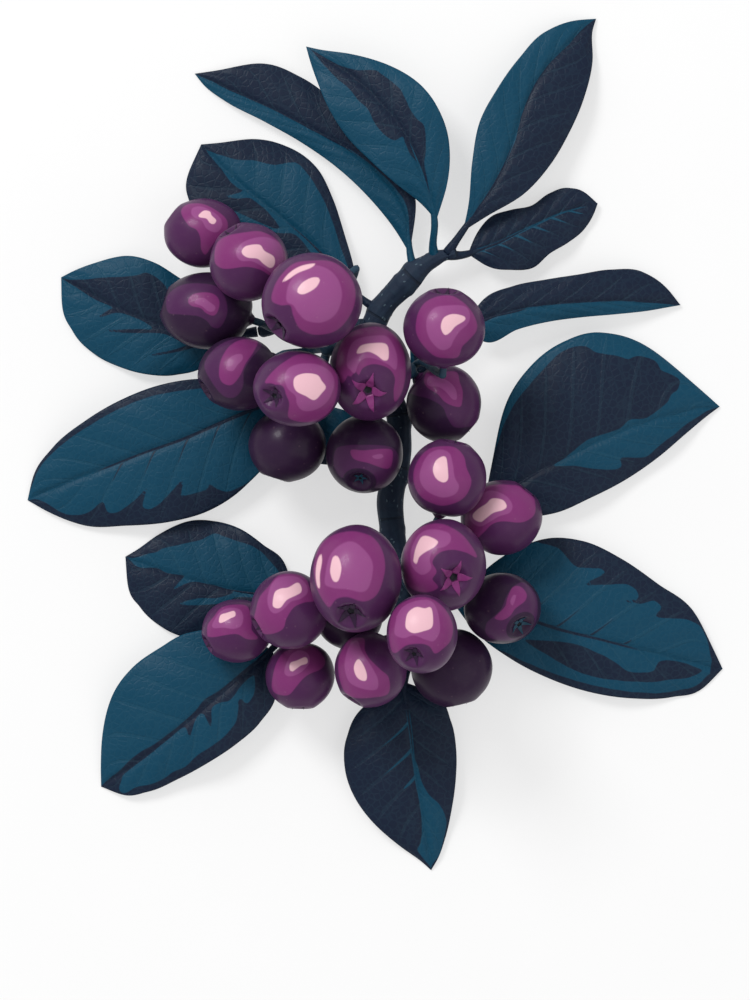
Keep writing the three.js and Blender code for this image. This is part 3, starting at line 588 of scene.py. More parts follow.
        ]],
        "deep": 1, "star": 2,
    },
    "berry_23": {"deep": 1},
}
# Reach of the calyx points that differ from the rest, in berry radii.
CALYX_SPREAD = {"berry_07": 0.46, "berry_14": 0.42, "berry_09": 0.20, "berry_15": 0.34, "berry_03": 0.32}


# ---- sizes and colours -----------------------------------------------------
def length(name, text, default):
    return FloatProperty(name=name, description=text, default=default * MM, unit="LENGTH", precision=5)


def share(name, text, default):
    return FloatProperty(name=name, description=text, default=default, min=0.0, max=1.0, subtype="FACTOR")


def linear(code):
    """The scene-linear colour of a six-figure hex code."""
    parts = [int(code[i:i + 2], 16) / 255 for i in (0, 2, 4)]
    return tuple(c / 12.92 if c < 0.04045 else ((c + 0.055) / 1.055) ** 2.4 for c in parts)


def tint(name, text, code):
    return FloatVectorProperty(
        name=name, description=text, subtype="COLOR", size=3, min=0.0, max=1.0, default=linear(code)
    )


class SprigLeafLook(bpy.types.PropertyGroup):
    # teal is the painted light on a blade, navy its painted shade
    teal: tint("Teal", "Colour of the lit parts of a blade", "0a3f57")
    navy: tint("Navy", "Colour of the dark parts of a blade", "141f33")
    thickness: length("Thickness", "Thickness of a blade between its veins", 0.34)
    rib_groove: length("Midrib groove", "Depth of the groove over the midrib", 0.22)
    quilting: length("Quilting", "Rise of the blade between side veins", 0.11)
    rib_width: length("Midrib line", "Width of the coloured midrib line", 0.55)
    side_veins: IntProperty(name="Side veins", description="Side veins on each half", default=7, min=2)
    along: IntProperty(name="Rows", description="Mesh rows from base to tip", default=120, min=16)
    across: IntProperty(name="Columns", description="Mesh columns from margin to margin", default=54, min=8)


class SprigBerryLook(bpy.types.PropertyGroup):
    # Painted light and shade of the berries: the darkest and dark tones are painted shade, the magenta and
    # lighter tones painted light, the palest a painted highlight; the darkest also colours dark calyx points
    deep: tint("Deep", "Darkest skin", "2e1a35")
    painted_shade: tint("Dark", "Dark skin", "49234c")
    mid: tint("Mid", "Magenta skin", "79306a")
    light: tint("Light", "Lighter skin", "8d487f")
    painted_highlight: tint("Bloom", "Palest patch on the skin", "e3b6c1")
    calyx: share("Calyx", "Radius of the calyx basin in berry radii", 0.34)
    basin: share("Basin depth", "Depth of the calyx basin in berry radii", 0.16)
    sepal: share("Sepal", "Length of a calyx point in berry radii", 0.30)
    segments: IntProperty(name="Segments", description="Mesh faces round a berry", default=112, min=12)


class SprigWoodLook(bpy.types.PropertyGroup):
    bark: tint("Bark", "Colour of the twig", "1c293c")
    stalk: tint("Stalk", "Colour of the fruit stalks", "1b3347")
    pore: length("Pore", "Radius of a pale pore on the bark", 0.13)
    pore_density: FloatProperty(
        name="Pore density", description="Pores on each square metre of bark", default=260000.0, min=0.0,
    )
    grain: length("Bark grain", "Height of the bark's ridges", 0.07)
    voxel: length("Stalk detail", "Mesh size of the fruit stalks", 0.16)


class SprigStageLook(bpy.types.PropertyGroup):
    floor: tint("Floor", "Colour of the floor", "fbfbfb")
    distance: FloatProperty(
        name="Camera height", description="Height of the camera", default=1.6, unit="LENGTH",
    )


# ---- shader helpers --------------------------------------------------------
class Value:
    """A shader socket that takes part in sums, differences and products."""

    def __init__(self, recipe, socket):
        self.recipe = recipe
        self.socket = socket

    def _math(self, operation, a, b):
        return self.recipe.node("Math", {"operation": operation}, {0: a, 1: b})

    def __add__(self, other):
        return self._math("ADD", self, other)

    __radd__ = __add__

    def __mul__(self, other):
        return self._math("MULTIPLY", self, other)

    __rmul__ = __mul__

    def __sub__(self, other):
        return self._math("SUBTRACT", self, other)

    def __rsub__(self, other):
        return self._math("SUBTRACT", other, self)

    def __abs__(self):
        return self._math("ABSOLUTE", self, 0.0)


class Recipe:
    """A material under construction."""

    def __init__(self, name):
        self.material = bpy.data.materials.new(name)
        self.material.use_nodes = True
        self.tree = self.material.node_tree
        self.tree.nodes.clear()

    def node(self, kind, settings=None, sockets=None, out=0):
        """Adds a node, sets it up, fills or links its sockets and returns one output."""
        made = self.tree.nodes.new("ShaderNode" + kind)
        for key, value in (settings or {}).items():
            setattr(made, key, value)
        for key, value in (sockets or {}).items():
            socket = made.inputs[key]
            if isinstance(value, Value):
                self.tree.links.new(value.socket, socket)
            elif isinstance(value, (tuple, list)) and len(value) == 3 and socket.type == "RGBA":
                socket.default_value = (*value, 1.0)
            else:
                socket.default_value = value
        return Value(self, made.outputs[out]) if made.outputs else None

    def field(self, name):
        return self.node("Attribute", {"attribute_name": name}, out="Fac")

    def place(self):
        return self.node("TexCoord", out="Object")

    def blend(self, amount, a, b):
        """Colour a where amount is 0 and b where it is 1."""
        return self.node("Mix", {"data_type": "RGBA"}, {0: amount, 6: a, 7: b}, out=2)

    def edge(self, value, width):
        """1 where value is above 0 and 0 below, blurred over width."""
        return self.node(
            "MapRange", {"interpolation_type": "SMOOTHSTEP"},
            {"Value": value, "From Min": -width / 2, "From Max": width / 2},
        )

    def noise(self, scale, detail=3.0, rough=0.5, warp=0.0):
        return self.node(
            "TexNoise", {},
            {"Vector": self.place(), "Scale": scale, "Detail": detail, "Roughness": rough,
             "Distortion": warp},
        )

    def finish(self, colour, roughness, bumps, **constant):
        """Joins everything in one principled shader. bumps is (height, distance) pairs."""
        sockets = {"Base Color": colour, "Roughness": roughness}
        normal = None
        for height, distance in bumps:
            inputs = {"Height": height, "Distance": distance, "Strength": 1.0}
            if normal is not None:
                inputs["Normal"] = normal
            normal = self.node("Bump", {}, inputs)
        if normal is not None:
            sockets["Normal"] = normal
        for key, value in constant.items():
            sockets[key.replace("_", " ")] = value
        shader = self.node("BsdfPrincipled", {}, sockets)
        self.node("OutputMaterial", {}, {"Surface": shader})
        return self.material


# ---- mesh helpers ----------------------------------------------------------
def merged_points(name):
    """Points of a CAD node's mesh, in millimetres, and their neighbours."""
    mesh = frame["nodes"][name].data
    raw = np.array([v.co for v in mesh.vertices]) / MM
    points, index = np.unique(np.round(raw, 4), axis=0, return_inverse=True)
    index = index.reshape(-1)
    beside = [set() for _ in points]
    for edge in mesh.edges:
        a, b = (int(index[v]) for v in edge.vertices)
        if a != b:
            beside[a].add(b)
            beside[b].add(a)
    return points, beside


def rings_of(name, around):
    """The rings that a lofted CAD node was made from, narrow end first."""
    points, beside = merged_points(name)
    apart = np.linalg.norm(points[:, None] - points[None], axis=2)
    nearest = np.argsort(apart, axis=1)[:, :around]
    crowd = apart[np.arange(len(points)), nearest[:, -1]]
    for start in np.argsort(crowd):
        ring = sorted(int(i) for i in nearest[start])
        done, rings = set(ring), []
        while ring:
            rings.append(points[ring])
            ring = sorted({b for a in ring for b in beside[a]} - done)
            done |= set(ring)
        if all(len(r) == around for r in rings):
            break
    else:
        raise RuntimeError(name + " has no even rings")
    if np.ptp(rings[0], axis=0).max() > np.ptp(rings[-1], axis=0).max():
        rings.reverse()
    return rings


def smooth_through(stations, points, at):
    """Smooth curve that passes through points at their stations, read at others."""
    x, p = np.asarray(stations, float), np.asarray(points, float)
    if p.ndim == 1:
        p = p[:, None]
    step = np.diff(x)[:, None]
    slope = np.diff(p, axis=0) / step
    tangent = np.empty_like(p)
    tangent[0], tangent[-1] = slope[0], slope[-1]
    tangent[1:-1] = (slope[:-1] * step[1:] + slope[1:] * step[:-1]) / (step[1:] + step[:-1])
    k = np.clip(np.searchsorted(x, at, side="right") - 1, 0, len(x) - 2)
    h = step[k]
    u = ((at - x[k])[:, None]) / h
    return (
        (2 * u**3 - 3 * u**2 + 1) * p[k] + (u**3 - 2 * u**2 + u) * h * tangent[k]
        + (3 * u**2 - 2 * u**3) * p[k + 1] + (u**3 - u**2) * h * tangent[k + 1]
    )


def new_piece(name, points, faces, material, smooth=True):
    """An object made from points in millimetres."""
    mesh = bpy.data.meshes.new(name)
    mesh.from_pydata([tuple(p) for p in np.asarray(points) * MM], [], faces)
    mesh.validate()
    mesh.materials.append(material)
    mesh.polygons.foreach_set("use_smooth", [smooth] * len(mesh.polygons))
    piece = bpy.data.objects.new(name, mesh)
    bpy.context.scene.collection.objects.link(piece)
    return piece


def set_field(piece, name, values):
    made = piece.data.attributes.new(name, "FLOAT", "POINT")
    made.data.foreach_set("value", np.ascontiguousarray(values, dtype=np.float32))


def hand_over(piece, slot, *nodes):
    """Puts a piece under the root body and hides the nodes it stands for. Its slot is not used."""
    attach(piece, "root")
    if nodes:
        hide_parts(*nodes)


def turned(path):
    """Directions along a path and two sides square to each."""
    ahead = np.gradient(path, axis=0)
    ahead /= np.linalg.norm(ahead, axis=1, keepdims=True)
    side = np.array([0.0, 0.0, 1.0])
    first, second = [], []
    for way in ahead:
        side = side - way * side.dot(way)
        side /= np.linalg.norm(side)
        first.append(side)
        second.append(np.cross(way, side))
    return ahead, np.array(first), np.array(second)


def tube(path, radii, around):
    """Points and faces of a closed rod."""
    _, side, across = turned(path)
    turn = np.linspace(0, 2 * np.pi, around, endpoint=False)
    ring = np.cos(turn)[None, :, None] * side[:, None] + np.sin(turn)[None, :, None] * across[:, None]
    points = path[:, None] + ring * np.asarray(radii)[:, None, None]
    rows = len(path)
    points = points.reshape(-1, 3)
    faces = [
        (i * around + k, i * around + (k + 1) % around,
         (i + 1) * around + (k + 1) % around, (i + 1) * around + k)
        for i in range(rows - 1) for k in range(around)
    ]
    faces.append(tuple(range(around))[::-1])
    faces.append(tuple((rows - 1) * around + k for k in range(around)))
    return points, faces


# ---- leaves ----------------------------------------------------------------
def blade_lines(rings):
    """Left margin, midrib and right margin of a blade, base to tip, and its stations."""
    base, tip = rings[0].mean(axis=0), rings[-1].mean(axis=0)
    along = (tip - base)[:2]
    span = np.linalg.norm(along)
    along /= span
    aside = np.array([-along[1], along[0]])
    stations, left, rib, right = [0.0], [base], [base], [base]
    for ring in rings[1:-1]:
        order = ring[np.argsort(-(ring[:, :2] - base[:2]).dot(aside))]
        middle = order[3].copy()
        middle[2] = max(order[3][2], order[4][2])
        stations.append(float((order[3][:2] - base[:2]).dot(along) / span))
        left.append(order[0])
        rib.append(middle)
        right.append(order[7])
    stations.append(1.0)
    for line in (left, rib, right):
        line.append(tip)
    return np.array(stations), np.array(left), np.array(rib), np.array(right)


def rounded(corners, straight=0.36):
    """A closed curve through corners; sides longer than straight stay straight."""
    p = np.asarray(corners, float)
    curve = []
    for i in range(len(p)):
        a, b, c, d = (p[(i + k) % len(p)] for k in (-1, 0, 1, 2))
        far = np.abs(c - b).max()
        steps = max(4, int(far / 0.03))
        for u in np.arange(steps) / steps:
            bend = (c - a) * u + (2 * a - 5 * b + 4 * c - d) * u**2 + (3 * b - a - 3 * c + d) * u**3
            curve.append(b + (0.5 * bend if far < straight else (c - b) * u))
    return np.array(curve)


def inside_by(outline, spots):
    """Distance from spots to a closed outline, above 0 inside it."""
    a, b = outline, np.roll(outline, -1, axis=0)
    best = np.full(len(spots), np.inf)
    crossings = np.zeros(len(spots), int)
    for p, q in zip(a, b):
        d = q - p
        size = d.dot(d)
        if size == 0:
            continue
        share_on = np.clip((spots - p).dot(d) / size, 0, 1)
        best = np.minimum(best, np.linalg.norm(spots - p - share_on[:, None] * d, axis=1))
        spans = (p[1] > spots[:, 1]) != (q[1] > spots[:, 1])
        with np.errstate(divide="ignore", invalid="ignore"):
            cross_x = p[0] + (spots[:, 1] - p[1]) * d[0] / d[1]
        crossings += spans & (spots[:, 0] < cross_x)
    return np.where(crossings % 2 == 1, best, -best)


def painted(paint, spots, plan):
    """How far, in millimetres, each spot is inside the navy painted shade of its blade."""
    inside = np.full(len(spots), -9.0)
    for corners in paint["painted_shade"]:
        inside = np.maximum(inside, inside_by(plan(rounded(corners)), spots))
    for corners in paint.get("pale", ()):
        inside = np.minimum(inside, -inside_by(plan(rounded(corners)), spots))
    return inside


def leaf_piece(name, look, material, seed):
    rings = rings_of(name, LEAF_RING)[::-1]
    stem = [r.mean(axis=0) for r in rings[:-BLADE_RINGS]]
    stations, left, rib, right = blade_lines(rings[-BLADE_RINGS - 1:])
    rng = np.random.default_rng(seed)
    rows, columns = look.along, look.across
    s = 1 - np.cos(np.linspace(0, np.pi, rows + 1))
    s = 0.55 * s / 2 + 0.45 * np.linspace(0, 1, rows + 1)
    edge_left, middle, edge_right = (smooth_through(stations, line, s) for line in (left, rib, right))
    t = np.linspace(1, -1, columns + 1)
    t = np.sign(t) * np.abs(t) ** 1.1
    out = np.abs(t)[None, :, None]
    edges = np.where((t > 0)[None, :, None], edge_left[:, None], edge_right[:, None])
    grid = middle[:, None] + (edges - middle[:, None]) * out
    half = np.linalg.norm((edges - middle[:, None])[..., :2], axis=2)
    half = np.maximum(half, 0.02)
    s_all = np.repeat(s[:, None], columns + 1, axis=1)
    t_all = np.repeat(t[None], rows + 1, axis=0)
    across = half * t_all
    span = np.linalg.norm(middle[-1] - middle[0])
    veins = look.side_veins + (1 if span > 33 else 0) - (2 if span < 18 else 0)
    phase = veins * (s_all - 0.22 * np.abs(t_all) ** 0.85) + np.where(t_all > 0, 0.0, 0.5) + 2
    swelling = 0.5 - 0.5 * np.cos(2 * np.pi * phase)
    quilt = look.quilting / MM * swelling * np.sin(np.pi * np.abs(t_all)) ** 0.6
    fade = np.clip(half / 3.0, 0, 1)
    groove = look.rib_groove / MM * np.exp(-(across / 0.45) ** 2) * fade
    wave_turn = rng.uniform(0, 6.28)
    wave = 0.35 * np.sin(2 * np.pi * (2.3 * s_all) + wave_turn + np.sign(t_all)) * np.abs(t_all) ** 3 * fade
    camber = 0.05 * half * np.abs(t_all) * (1 - np.abs(t_all)) * 4
    thick = look.thickness / MM * (1 - 0.45 * np.abs(t_all) ** 4) * (1 - 0.5 * s_all ** 3)
    height = grid[..., 2] + camber + wave + quilt * fade - groove
    top = grid.copy()
    top[..., 2] = np.maximum(height, thick + 0.03)
    under = grid.copy()
    ridge = 0.45 * np.exp(-(across / 0.5) ** 2) * fade
    under[..., 2] = np.maximum(top[..., 2] - thick - ridge + groove * 0.6, 0.02)
    wide = columns + 1
    count = (rows + 1) * wide
    points = np.concatenate([top.reshape(-1, 3), under.reshape(-1, 3)])
    faces = []
    for i in range(rows):
        for k in range(columns):
            a = i * wide + k
            faces.append((a, a + 1, a + wide + 1, a + wide))
            faces.append((count + a, count + a + wide, count + a + wide + 1, count + a + 1))
        a, b = i * wide, i * wide + columns
        faces.append((a, a + wide, count + a + wide, count + a))
        faces.append((b, count + b, count + b + wide, b + wide))
    for k in range(columns):
        faces.append((k, count + k, count + k + 1, k + 1))
        a = rows * wide + k
        faces.append((a, a + 1, count + a + 1, count + a))
    stem_path, stem_radii = petiole_path(stem, middle)
    stem_points, stem_faces = tube(stem_path, stem_radii, 14)
    faces += [tuple(i + 2 * count for i in face) for face in stem_faces]
    piece = new_piece(name + "_blade", np.concatenate([points, stem_points]), faces, material)
    paint = LEAF_PAINT[name]
    flat_s, flat_t, flat_half, flat_phase = (a.reshape(-1) for a in (s_all, t_all, half, phase))

    def plan(outline):
        at = np.clip(outline[:, 0], 0, 1)
        lines = [smooth_through(stations, line, at)[:, :2] for line in (left, rib, right)]
        edge = np.where(outline[:, 1:] > 0, lines[0], lines[2])
        return lines[1] + (edge - lines[1]) * np.abs(outline[:, 1:])

    # how far each point lies inside the navy painted shade of the blade
    painted_shade = painted(paint, grid[..., :2].reshape(-1, 2), plan)
    extra = len(stem_points)
    tone, rib_from, rib_to = paint.get("rib", (0, 1.0, 1.0))
    rib_mark = np.clip((flat_s - rib_from) * 20 + 1, 0, 1) * np.clip((rib_to - flat_s) * 20, 0, 1)
    reach = np.where(flat_t > 0, *paint.get("sides", (0.0, 0.0)))

    def both(values, stem_value):
        return np.concatenate([values, values, np.full(extra, float(stem_value))])

    # the painted shade goes to the shader; a petiole is wholly navy shade or wholly teal light
    set_field(piece, "painted_shade", both(painted_shade, paint.get("petiole", 1) * 6.0 - 3.0))
    set_field(piece, "across", both(across.reshape(-1), 0.0))
    set_field(piece, "phase", both(flat_phase, 0.25))
    set_field(piece, "inward", both(((1 - np.abs(flat_t)) * flat_half), 3.0))
    set_field(piece, "along", both(flat_s, 0.0))
    set_field(piece, "rib_tone", both(np.full(count, float(tone)), tone))
    set_field(piece, "rib_mark", both(rib_mark, 0.0))
    set_field(piece, "side_room", both((reach - np.abs(flat_t)) * rib_mark - (1 - rib_mark), -1.0))
    set_field(piece, "vein_gap", both(np.full(count, span / veins), span / veins))
    tidy_normals(piece)
    hand_over(piece, "leaf", name)


def nearest_wood(point):
    """The nearest point on the axis of the twig or of a spur."""
    best = None
    for name in WOOD:
        axis = [r.mean(axis=0) for r in rings_of(name, ROD_RING)]
        for a, b in zip(axis, axis[1:]):
            share_on = np.clip((point - a).dot(b - a) / (b - a).dot(b - a), 0, 1)
            spot = a + (b - a) * share_on
            if best is None or np.linalg.norm(spot - point) < np.linalg.norm(best - point):
                best = spot
    return best


def petiole_path(stem, middle):
    """Axis of the petiole, from inside the wood that bears it to under the midrib."""
    start = np.array(stem[0])
    start = start + (nearest_wood(start) - start) * 0.9
    under = [p - np.array([0, 0, 0.42]) for p in middle[3::6]]
    knots = np.array([start, *stem, *under])
    run = np.concatenate([[0], np.cumsum(np.linalg.norm(np.diff(knots, axis=0), axis=1))])
    at = np.linspace(0, run[-1] * 0.97, 70)
    path = smooth_through(run, knots, at)
    stem_end = run[len(stem)]
    share_on = np.clip((at - stem_end) / (run[-1] - stem_end), 0, 1)
    radii = 0.50 - 0.45 * share_on ** 0.6
    radii += 0.26 * np.exp(-(at / 1.9) ** 2)
    for _ in range(30):
        path[1:-1] += 0.5 * ((path[:-2] + path[2:]) / 2 - path[1:-1])
    path[:, 2] = np.maximum(path[:, 2], radii + 0.03)
    return path, radii


def tidy_normals(piece):
    work = bmesh.new()
    work.from_mesh(piece.data)
    bmesh.ops.recalc_face_normals(work, faces=work.faces)
    work.to_mesh(piece.data)
    work.free()


def leaf_skin(look):
    r = Recipe("leaf_skin")
    wobble = (r.noise(420.0, 2.0) - 0.5) * 0.25
    # navy painted shade inside the painted outlines, teal painted light outside them
    painted_shade = r.edge(r.field("painted_shade") + wobble, 0.14)
    colour = r.blend(painted_shade, tuple(look.teal), tuple(look.navy))
    along = r.field("along")
    across = abs(r.field("across"))
    rib_line = look.rib_width / MM * 0.5 * (1.15 - along)
    rib = r.edge(rib_line - across + wobble * 0.12, 0.14) * r.field("rib_mark")
    # midrib and side vein lines take the navy of the painted shade or the teal of the painted light
    rib_colour = r.blend(r.field("rib_tone"), tuple(look.navy), tuple(look.teal))
    colour = r.blend(rib, colour, rib_colour)
    beat = r.node("Math", {"operation": "PINGPONG"}, {0: r.field("phase"), 1: 0.5})
    from_vein = beat * r.field("vein_gap")
    inward = r.field("inward")
    taper = r.edge(inward - 1.6, 2.4) * 0.26
    side = r.edge(taper - from_vein, 0.16)
    hook = r.edge(r.field("side_room") * 0.75 - from_vein, 0.12)
    colour = r.blend(hook, colour, rib_colour)
    cells = r.node(
        "TexVoronoi", {"feature": "DISTANCE_TO_EDGE"}, {"Vector": r.place(), "Scale": 1050.0},
    )
    net = r.edge(0.09 - cells, 0.12)
    mottle = r.noise(260.0, 5.0, 0.6)
    paler = r.blend(0.5, colour, (0.05, 0.13, 0.17))
    colour = r.blend(net * 0.10 + side * 0.12 + (mottle - 0.5) * 0.16, colour, paler)
    rough = 0.40 + mottle * 0.16 - net * 0.05
    height = (1.0 - net) * 0.35 + r.noise(2600.0, 2.0) * 0.25 - side * 0.6
    return r.finish(colour, rough, [(height, 0.00006)], Specular_IOR_Level=0.14)


# ---- berries ---------------------------------------------------------------
class Growth:
    """A Geometry Nodes tree under construction."""

    def __init__(self, name):
        self.tree = bpy.data.node_groups.new(name, "GeometryNodeTree")
        self.inlet = self.tree.nodes.new("NodeGroupInput")
        self.outlet = self.tree.nodes.new("NodeGroupOutput")
        self.ids = {}

    def ask(self, label, kind, default=None):
        """Adds a named input and returns its socket."""
        made = self.tree.interface.new_socket(label, in_out="INPUT", socket_type="NodeSocket" + kind)
        if default is not None:
            made.default_value = default
        self.ids[label] = made.identifier
        return self.inlet.outputs[label]

    def node(self, kind, settings=None, sockets=None, out=0):
        made = self.tree.nodes.new(kind)
        for key, value in (settings or {}).items():
            setattr(made, key, value)
        for key, value in (sockets or {}).items():
            if isinstance(value, bpy.types.NodeSocket):
                self.tree.links.new(value, made.inputs[key])
            else:
                made.inputs[key].default_value = value
        return made.outputs[out]

    def sum(self, operation, a, b=0.0, c=None):
        sockets = {0: a, 1: b}
        if c is not None:
            sockets[2] = c
        return self.node("ShaderNodeMath", {"operation": operation}, sockets)

    def finish(self, shape, material):
        whole = self.node("GeometryNodeRealizeInstances", {}, {0: shape})
        dressed = self.node("GeometryNodeSetMaterial", {}, {"Geometry": whole, "Material": material})
        self.tree.interface.new_socket("Geometry", in_out="OUTPUT", socket_type="NodeSocketGeometry")
        self.tree.links.new(dressed, self.outlet.inputs[0])


def grown(name, growth, values):
    """Runs a tree once and returns its result as an object with a plain mesh."""
    seed = bpy.data.objects.new(name + "_seed", bpy.data.meshes.new(name + "_seed"))
    bpy.context.scene.collection.objects.link(seed)
    step = seed.modifiers.new("grow", "NODES")
    step.node_group = growth.tree
    for label, value in values.items():
        step[growth.ids[label]] = value
    bpy.context.view_layer.update()
    ready = seed.evaluated_get(bpy.context.evaluated_depsgraph_get())
    mesh = bpy.data.meshes.new_from_object(ready)
    bpy.data.objects.remove(seed)
    mesh.name = name
    piece = bpy.data.objects.new(name, mesh)
    bpy.context.scene.collection.objects.link(piece)
    return piece


def berry_growth():
    """A round fruit with a calyx basin, five calyx points and a stalk collar."""
    g = Growth("berry_growth")
    size = g.ask("Half Size", "Vector")
    centre = g.ask("Centre", "Vector")
    eye = g.ask("Eye", "Vector")
    calyx = g.ask("Calyx Radius", "Float", 0.34)
    depth = g.ask("Basin Depth", "Float", 0.16)
    sepal = g.ask("Sepal Length", "Float", 0.3)
    lumps = g.ask("Lumps", "Float", 0.03)
    around = g.ask("Segments", "Int", 112)
    seed = g.ask("Seed", "Float", 0.0)
    material = g.ask("Material", "Material")
    ball = g.node("GeometryNodeMeshUVSphere", {}, {"Segments": around, "Rings": 76, "Radius": 1.0})
    where = g.node("GeometryNodeInputPosition")
    xyz = g.tree.nodes.new("ShaderNodeSeparateXYZ")
    g.tree.links.new(where, xyz.inputs[0])
    x, y, z = xyz.outputs
    out = g.sum("SQRT", g.sum("ADD", g.sum("MULTIPLY", x, x), g.sum("MULTIPLY", y, y)))
    upper = g.sum("GREATER_THAN", z, 0.0)
    lower = g.sum("SUBTRACT", 1.0, upper)

    def drop(away):
        """How far the skin moves at a distance from the eye: a basin with a rounded lip."""
        share_in = g.node(
            "ShaderNodeMapRange", {"interpolation_type": "SMOOTHSTEP"},
            {"Value": away, "From Min": g.sum("MULTIPLY", calyx, 0.35), "From Max": calyx, "To Min": 1.0,
             "To Max": 0.0},
        )
        off_lip = g.sum("DIVIDE", g.sum("SUBTRACT", away, g.sum("MULTIPLY", calyx, 1.15)), 0.10)
        lip = g.sum("EXPONENT", g.sum("MULTIPLY", g.sum("MULTIPLY", off_lip, off_lip), -1.0))
        return g.sum("SUBTRACT", g.sum("MULTIPLY", lip, 0.02), g.sum("MULTIPLY", share_in, depth))

    pit = g.node(
        "ShaderNodeMapRange", {"interpolation_type": "SMOOTHSTEP"},
        {"Value": out, "From Min": 0.02, "From Max": g.sum("MULTIPLY", sepal, 0.34), "To Min": 0.06,
         "To Max": 0.0},
    )
    top_move = g.sum("MULTIPLY", g.sum("SUBTRACT", drop(out), pit), upper)
    # collar that meets the fruit stalk
    at_stalk = g.sum("DIVIDE", out, 0.15)
    collar = g.sum("EXPONENT", g.sum("MULTIPLY", g.sum("POWER", at_stalk, 4.0), -1.0))
    at_dimple = g.sum("DIVIDE", out, 0.34)
    dimple = g.sum("EXPONENT", g.sum("MULTIPLY", g.sum("MULTIPLY", at_dimple, at_dimple), -1.0))
    low_move = g.sum("SUBTRACT", g.sum("MULTIPLY", dimple, 0.07), g.sum("MULTIPLY", collar, 0.12))
    move = g.sum("ADD", top_move, g.sum("MULTIPLY", low_move, lower))
    lift = g.node("ShaderNodeCombineXYZ", {}, {"Z": move})
    noise = g.node(
        "ShaderNodeTexNoise", {"noise_dimensions": "4D"},
        {"Vector": where, "W": seed, "Scale": 0.9, "Detail": 1.0},
    )
    swell = g.sum("MULTIPLY", g.sum("MULTIPLY", g.sum("SUBTRACT", noise, 0.5), 2.0), lumps)
    bulge = g.node("ShaderNodeVectorMath", {"operation": "SCALE"}, {0: where, "Scale": swell})
    offset = g.node("ShaderNodeVectorMath", {"operation": "ADD"}, {0: lift, 1: bulge})
    body = g.node("GeometryNodeSetPosition", {}, {"Geometry": ball, "Offset": offset})
    # five broad calyx points, folded out over the basin
    cone = g.node(
        "GeometryNodeMeshCone", {},
        {"Vertices": 14, "Side Segments": 7, "Fill Segments": 1, "Radius Top": 0.02, "Radius Bottom": 0.34,
         "Depth": 1.0},
    )
    cone = g.node(
        "GeometryNodeTransform", {},
        {"Geometry": cone, "Rotation": (0.0, math.pi / 2, 0.0), "Scale": (0.22, 1.0, 1.0)},
    )
    spot = g.node("GeometryNodeInputPosition")
    split = g.tree.nodes.new("ShaderNodeSeparateXYZ")
    g.tree.links.new(spot, split.inputs[0])
    along = split.outputs[0]
    curl = g.sum("MULTIPLY", g.sum("MULTIPLY", along, along), 0.05)
    waist = g.sum("ADD", 0.85, g.sum("MULTIPLY", g.sum("SINE", g.sum("MULTIPLY", along, math.pi)), 0.25))
    bent = g.node(
        "ShaderNodeCombineXYZ", {},
        {"X": along, "Y": g.sum("MULTIPLY", split.outputs[1], waist),
         "Z": g.sum("ADD", split.outputs[2], curl)},
    )
    point_size = g.sum("MULTIPLY", sepal, 0.8)
    bent = g.node("ShaderNodeVectorMath", {"operation": "SCALE"}, {0: bent, "Scale": point_size})
    cone = g.node("GeometryNodeSetPosition", {}, {"Geometry": cone, "Position": bent})
    ring = g.node(
        "GeometryNodeMeshCircle", {}, {"Vertices": 5, "Radius": g.sum("MULTIPLY", sepal, 0.22)},
    )
    out_way = g.node("GeometryNodeInputPosition")
    spin = g.node("FunctionNodeAlignRotationToVector", {"axis": "X"}, {"Vector": out_way})
    star = g.node(
        "GeometryNodeInstanceOnPoints", {}, {"Points": ring, "Instance": cone, "Rotation": spin},
    )
    star = g.node("GeometryNodeRealizeInstances", {}, {0: star})
    lie = g.node("GeometryNodeInputPosition")
    parts = g.tree.nodes.new("ShaderNodeSeparateXYZ")
    g.tree.links.new(lie, parts.inputs[0])
    px, py = parts.outputs[0], parts.outputs[1]
    round_off = g.sum("ADD", g.sum("MULTIPLY", px, px), g.sum("MULTIPLY", py, py))
    dome = g.sum("SQRT", g.sum("MAXIMUM", g.sum("SUBTRACT", 1.0, round_off), 0.0))
    height = g.sum("ADD", g.sum("ADD", dome, drop(g.sum("SQRT", round_off))), 0.012)
    raise_star = g.node("ShaderNodeCombineXYZ", {}, {"Z": height})
    star = g.node("GeometryNodeSetPosition", {}, {"Geometry": star, "Offset": raise_star})
    star = g.node(
        "GeometryNodeStoreNamedAttribute", {"data_type": "FLOAT"},
        {"Geometry": star, "Name": "sepal", "Value": 1.0},
    )
    both = g.tree.nodes.new("GeometryNodeJoinGeometry")
    g.tree.links.new(star, both.inputs[0])
    g.tree.links.new(body, both.inputs[0])
    # turned to its eye, sized and put in place
    spot = g.node("GeometryNodeInputPosition")
    facing = g.node("FunctionNodeAlignRotationToVector", {"axis": "Z"}, {"Vector": eye})
    turned_to = g.node("FunctionNodeRotateVector", {}, {"Vector": spot, "Rotation": facing})
    sized = g.node("ShaderNodeVectorMath", {"operation": "MULTIPLY_ADD"}, {0: turned_to, 1: size, 2: centre})
    placed = g.node("GeometryNodeSetPosition", {}, {"Geometry": both.outputs[0], "Position": sized})
    smooth = g.node("GeometryNodeSetShadeSmooth", {}, {"Geometry": placed})
    g.finish(smooth, material)
    return g


def patch(outline, spots):
    """How far inside an outline each spot is, in shares of a berry's half width."""
    if not outline:
        return np.full(len(spots), -1.0)
    return inside_by(rounded(outline, straight=1.0), spots)


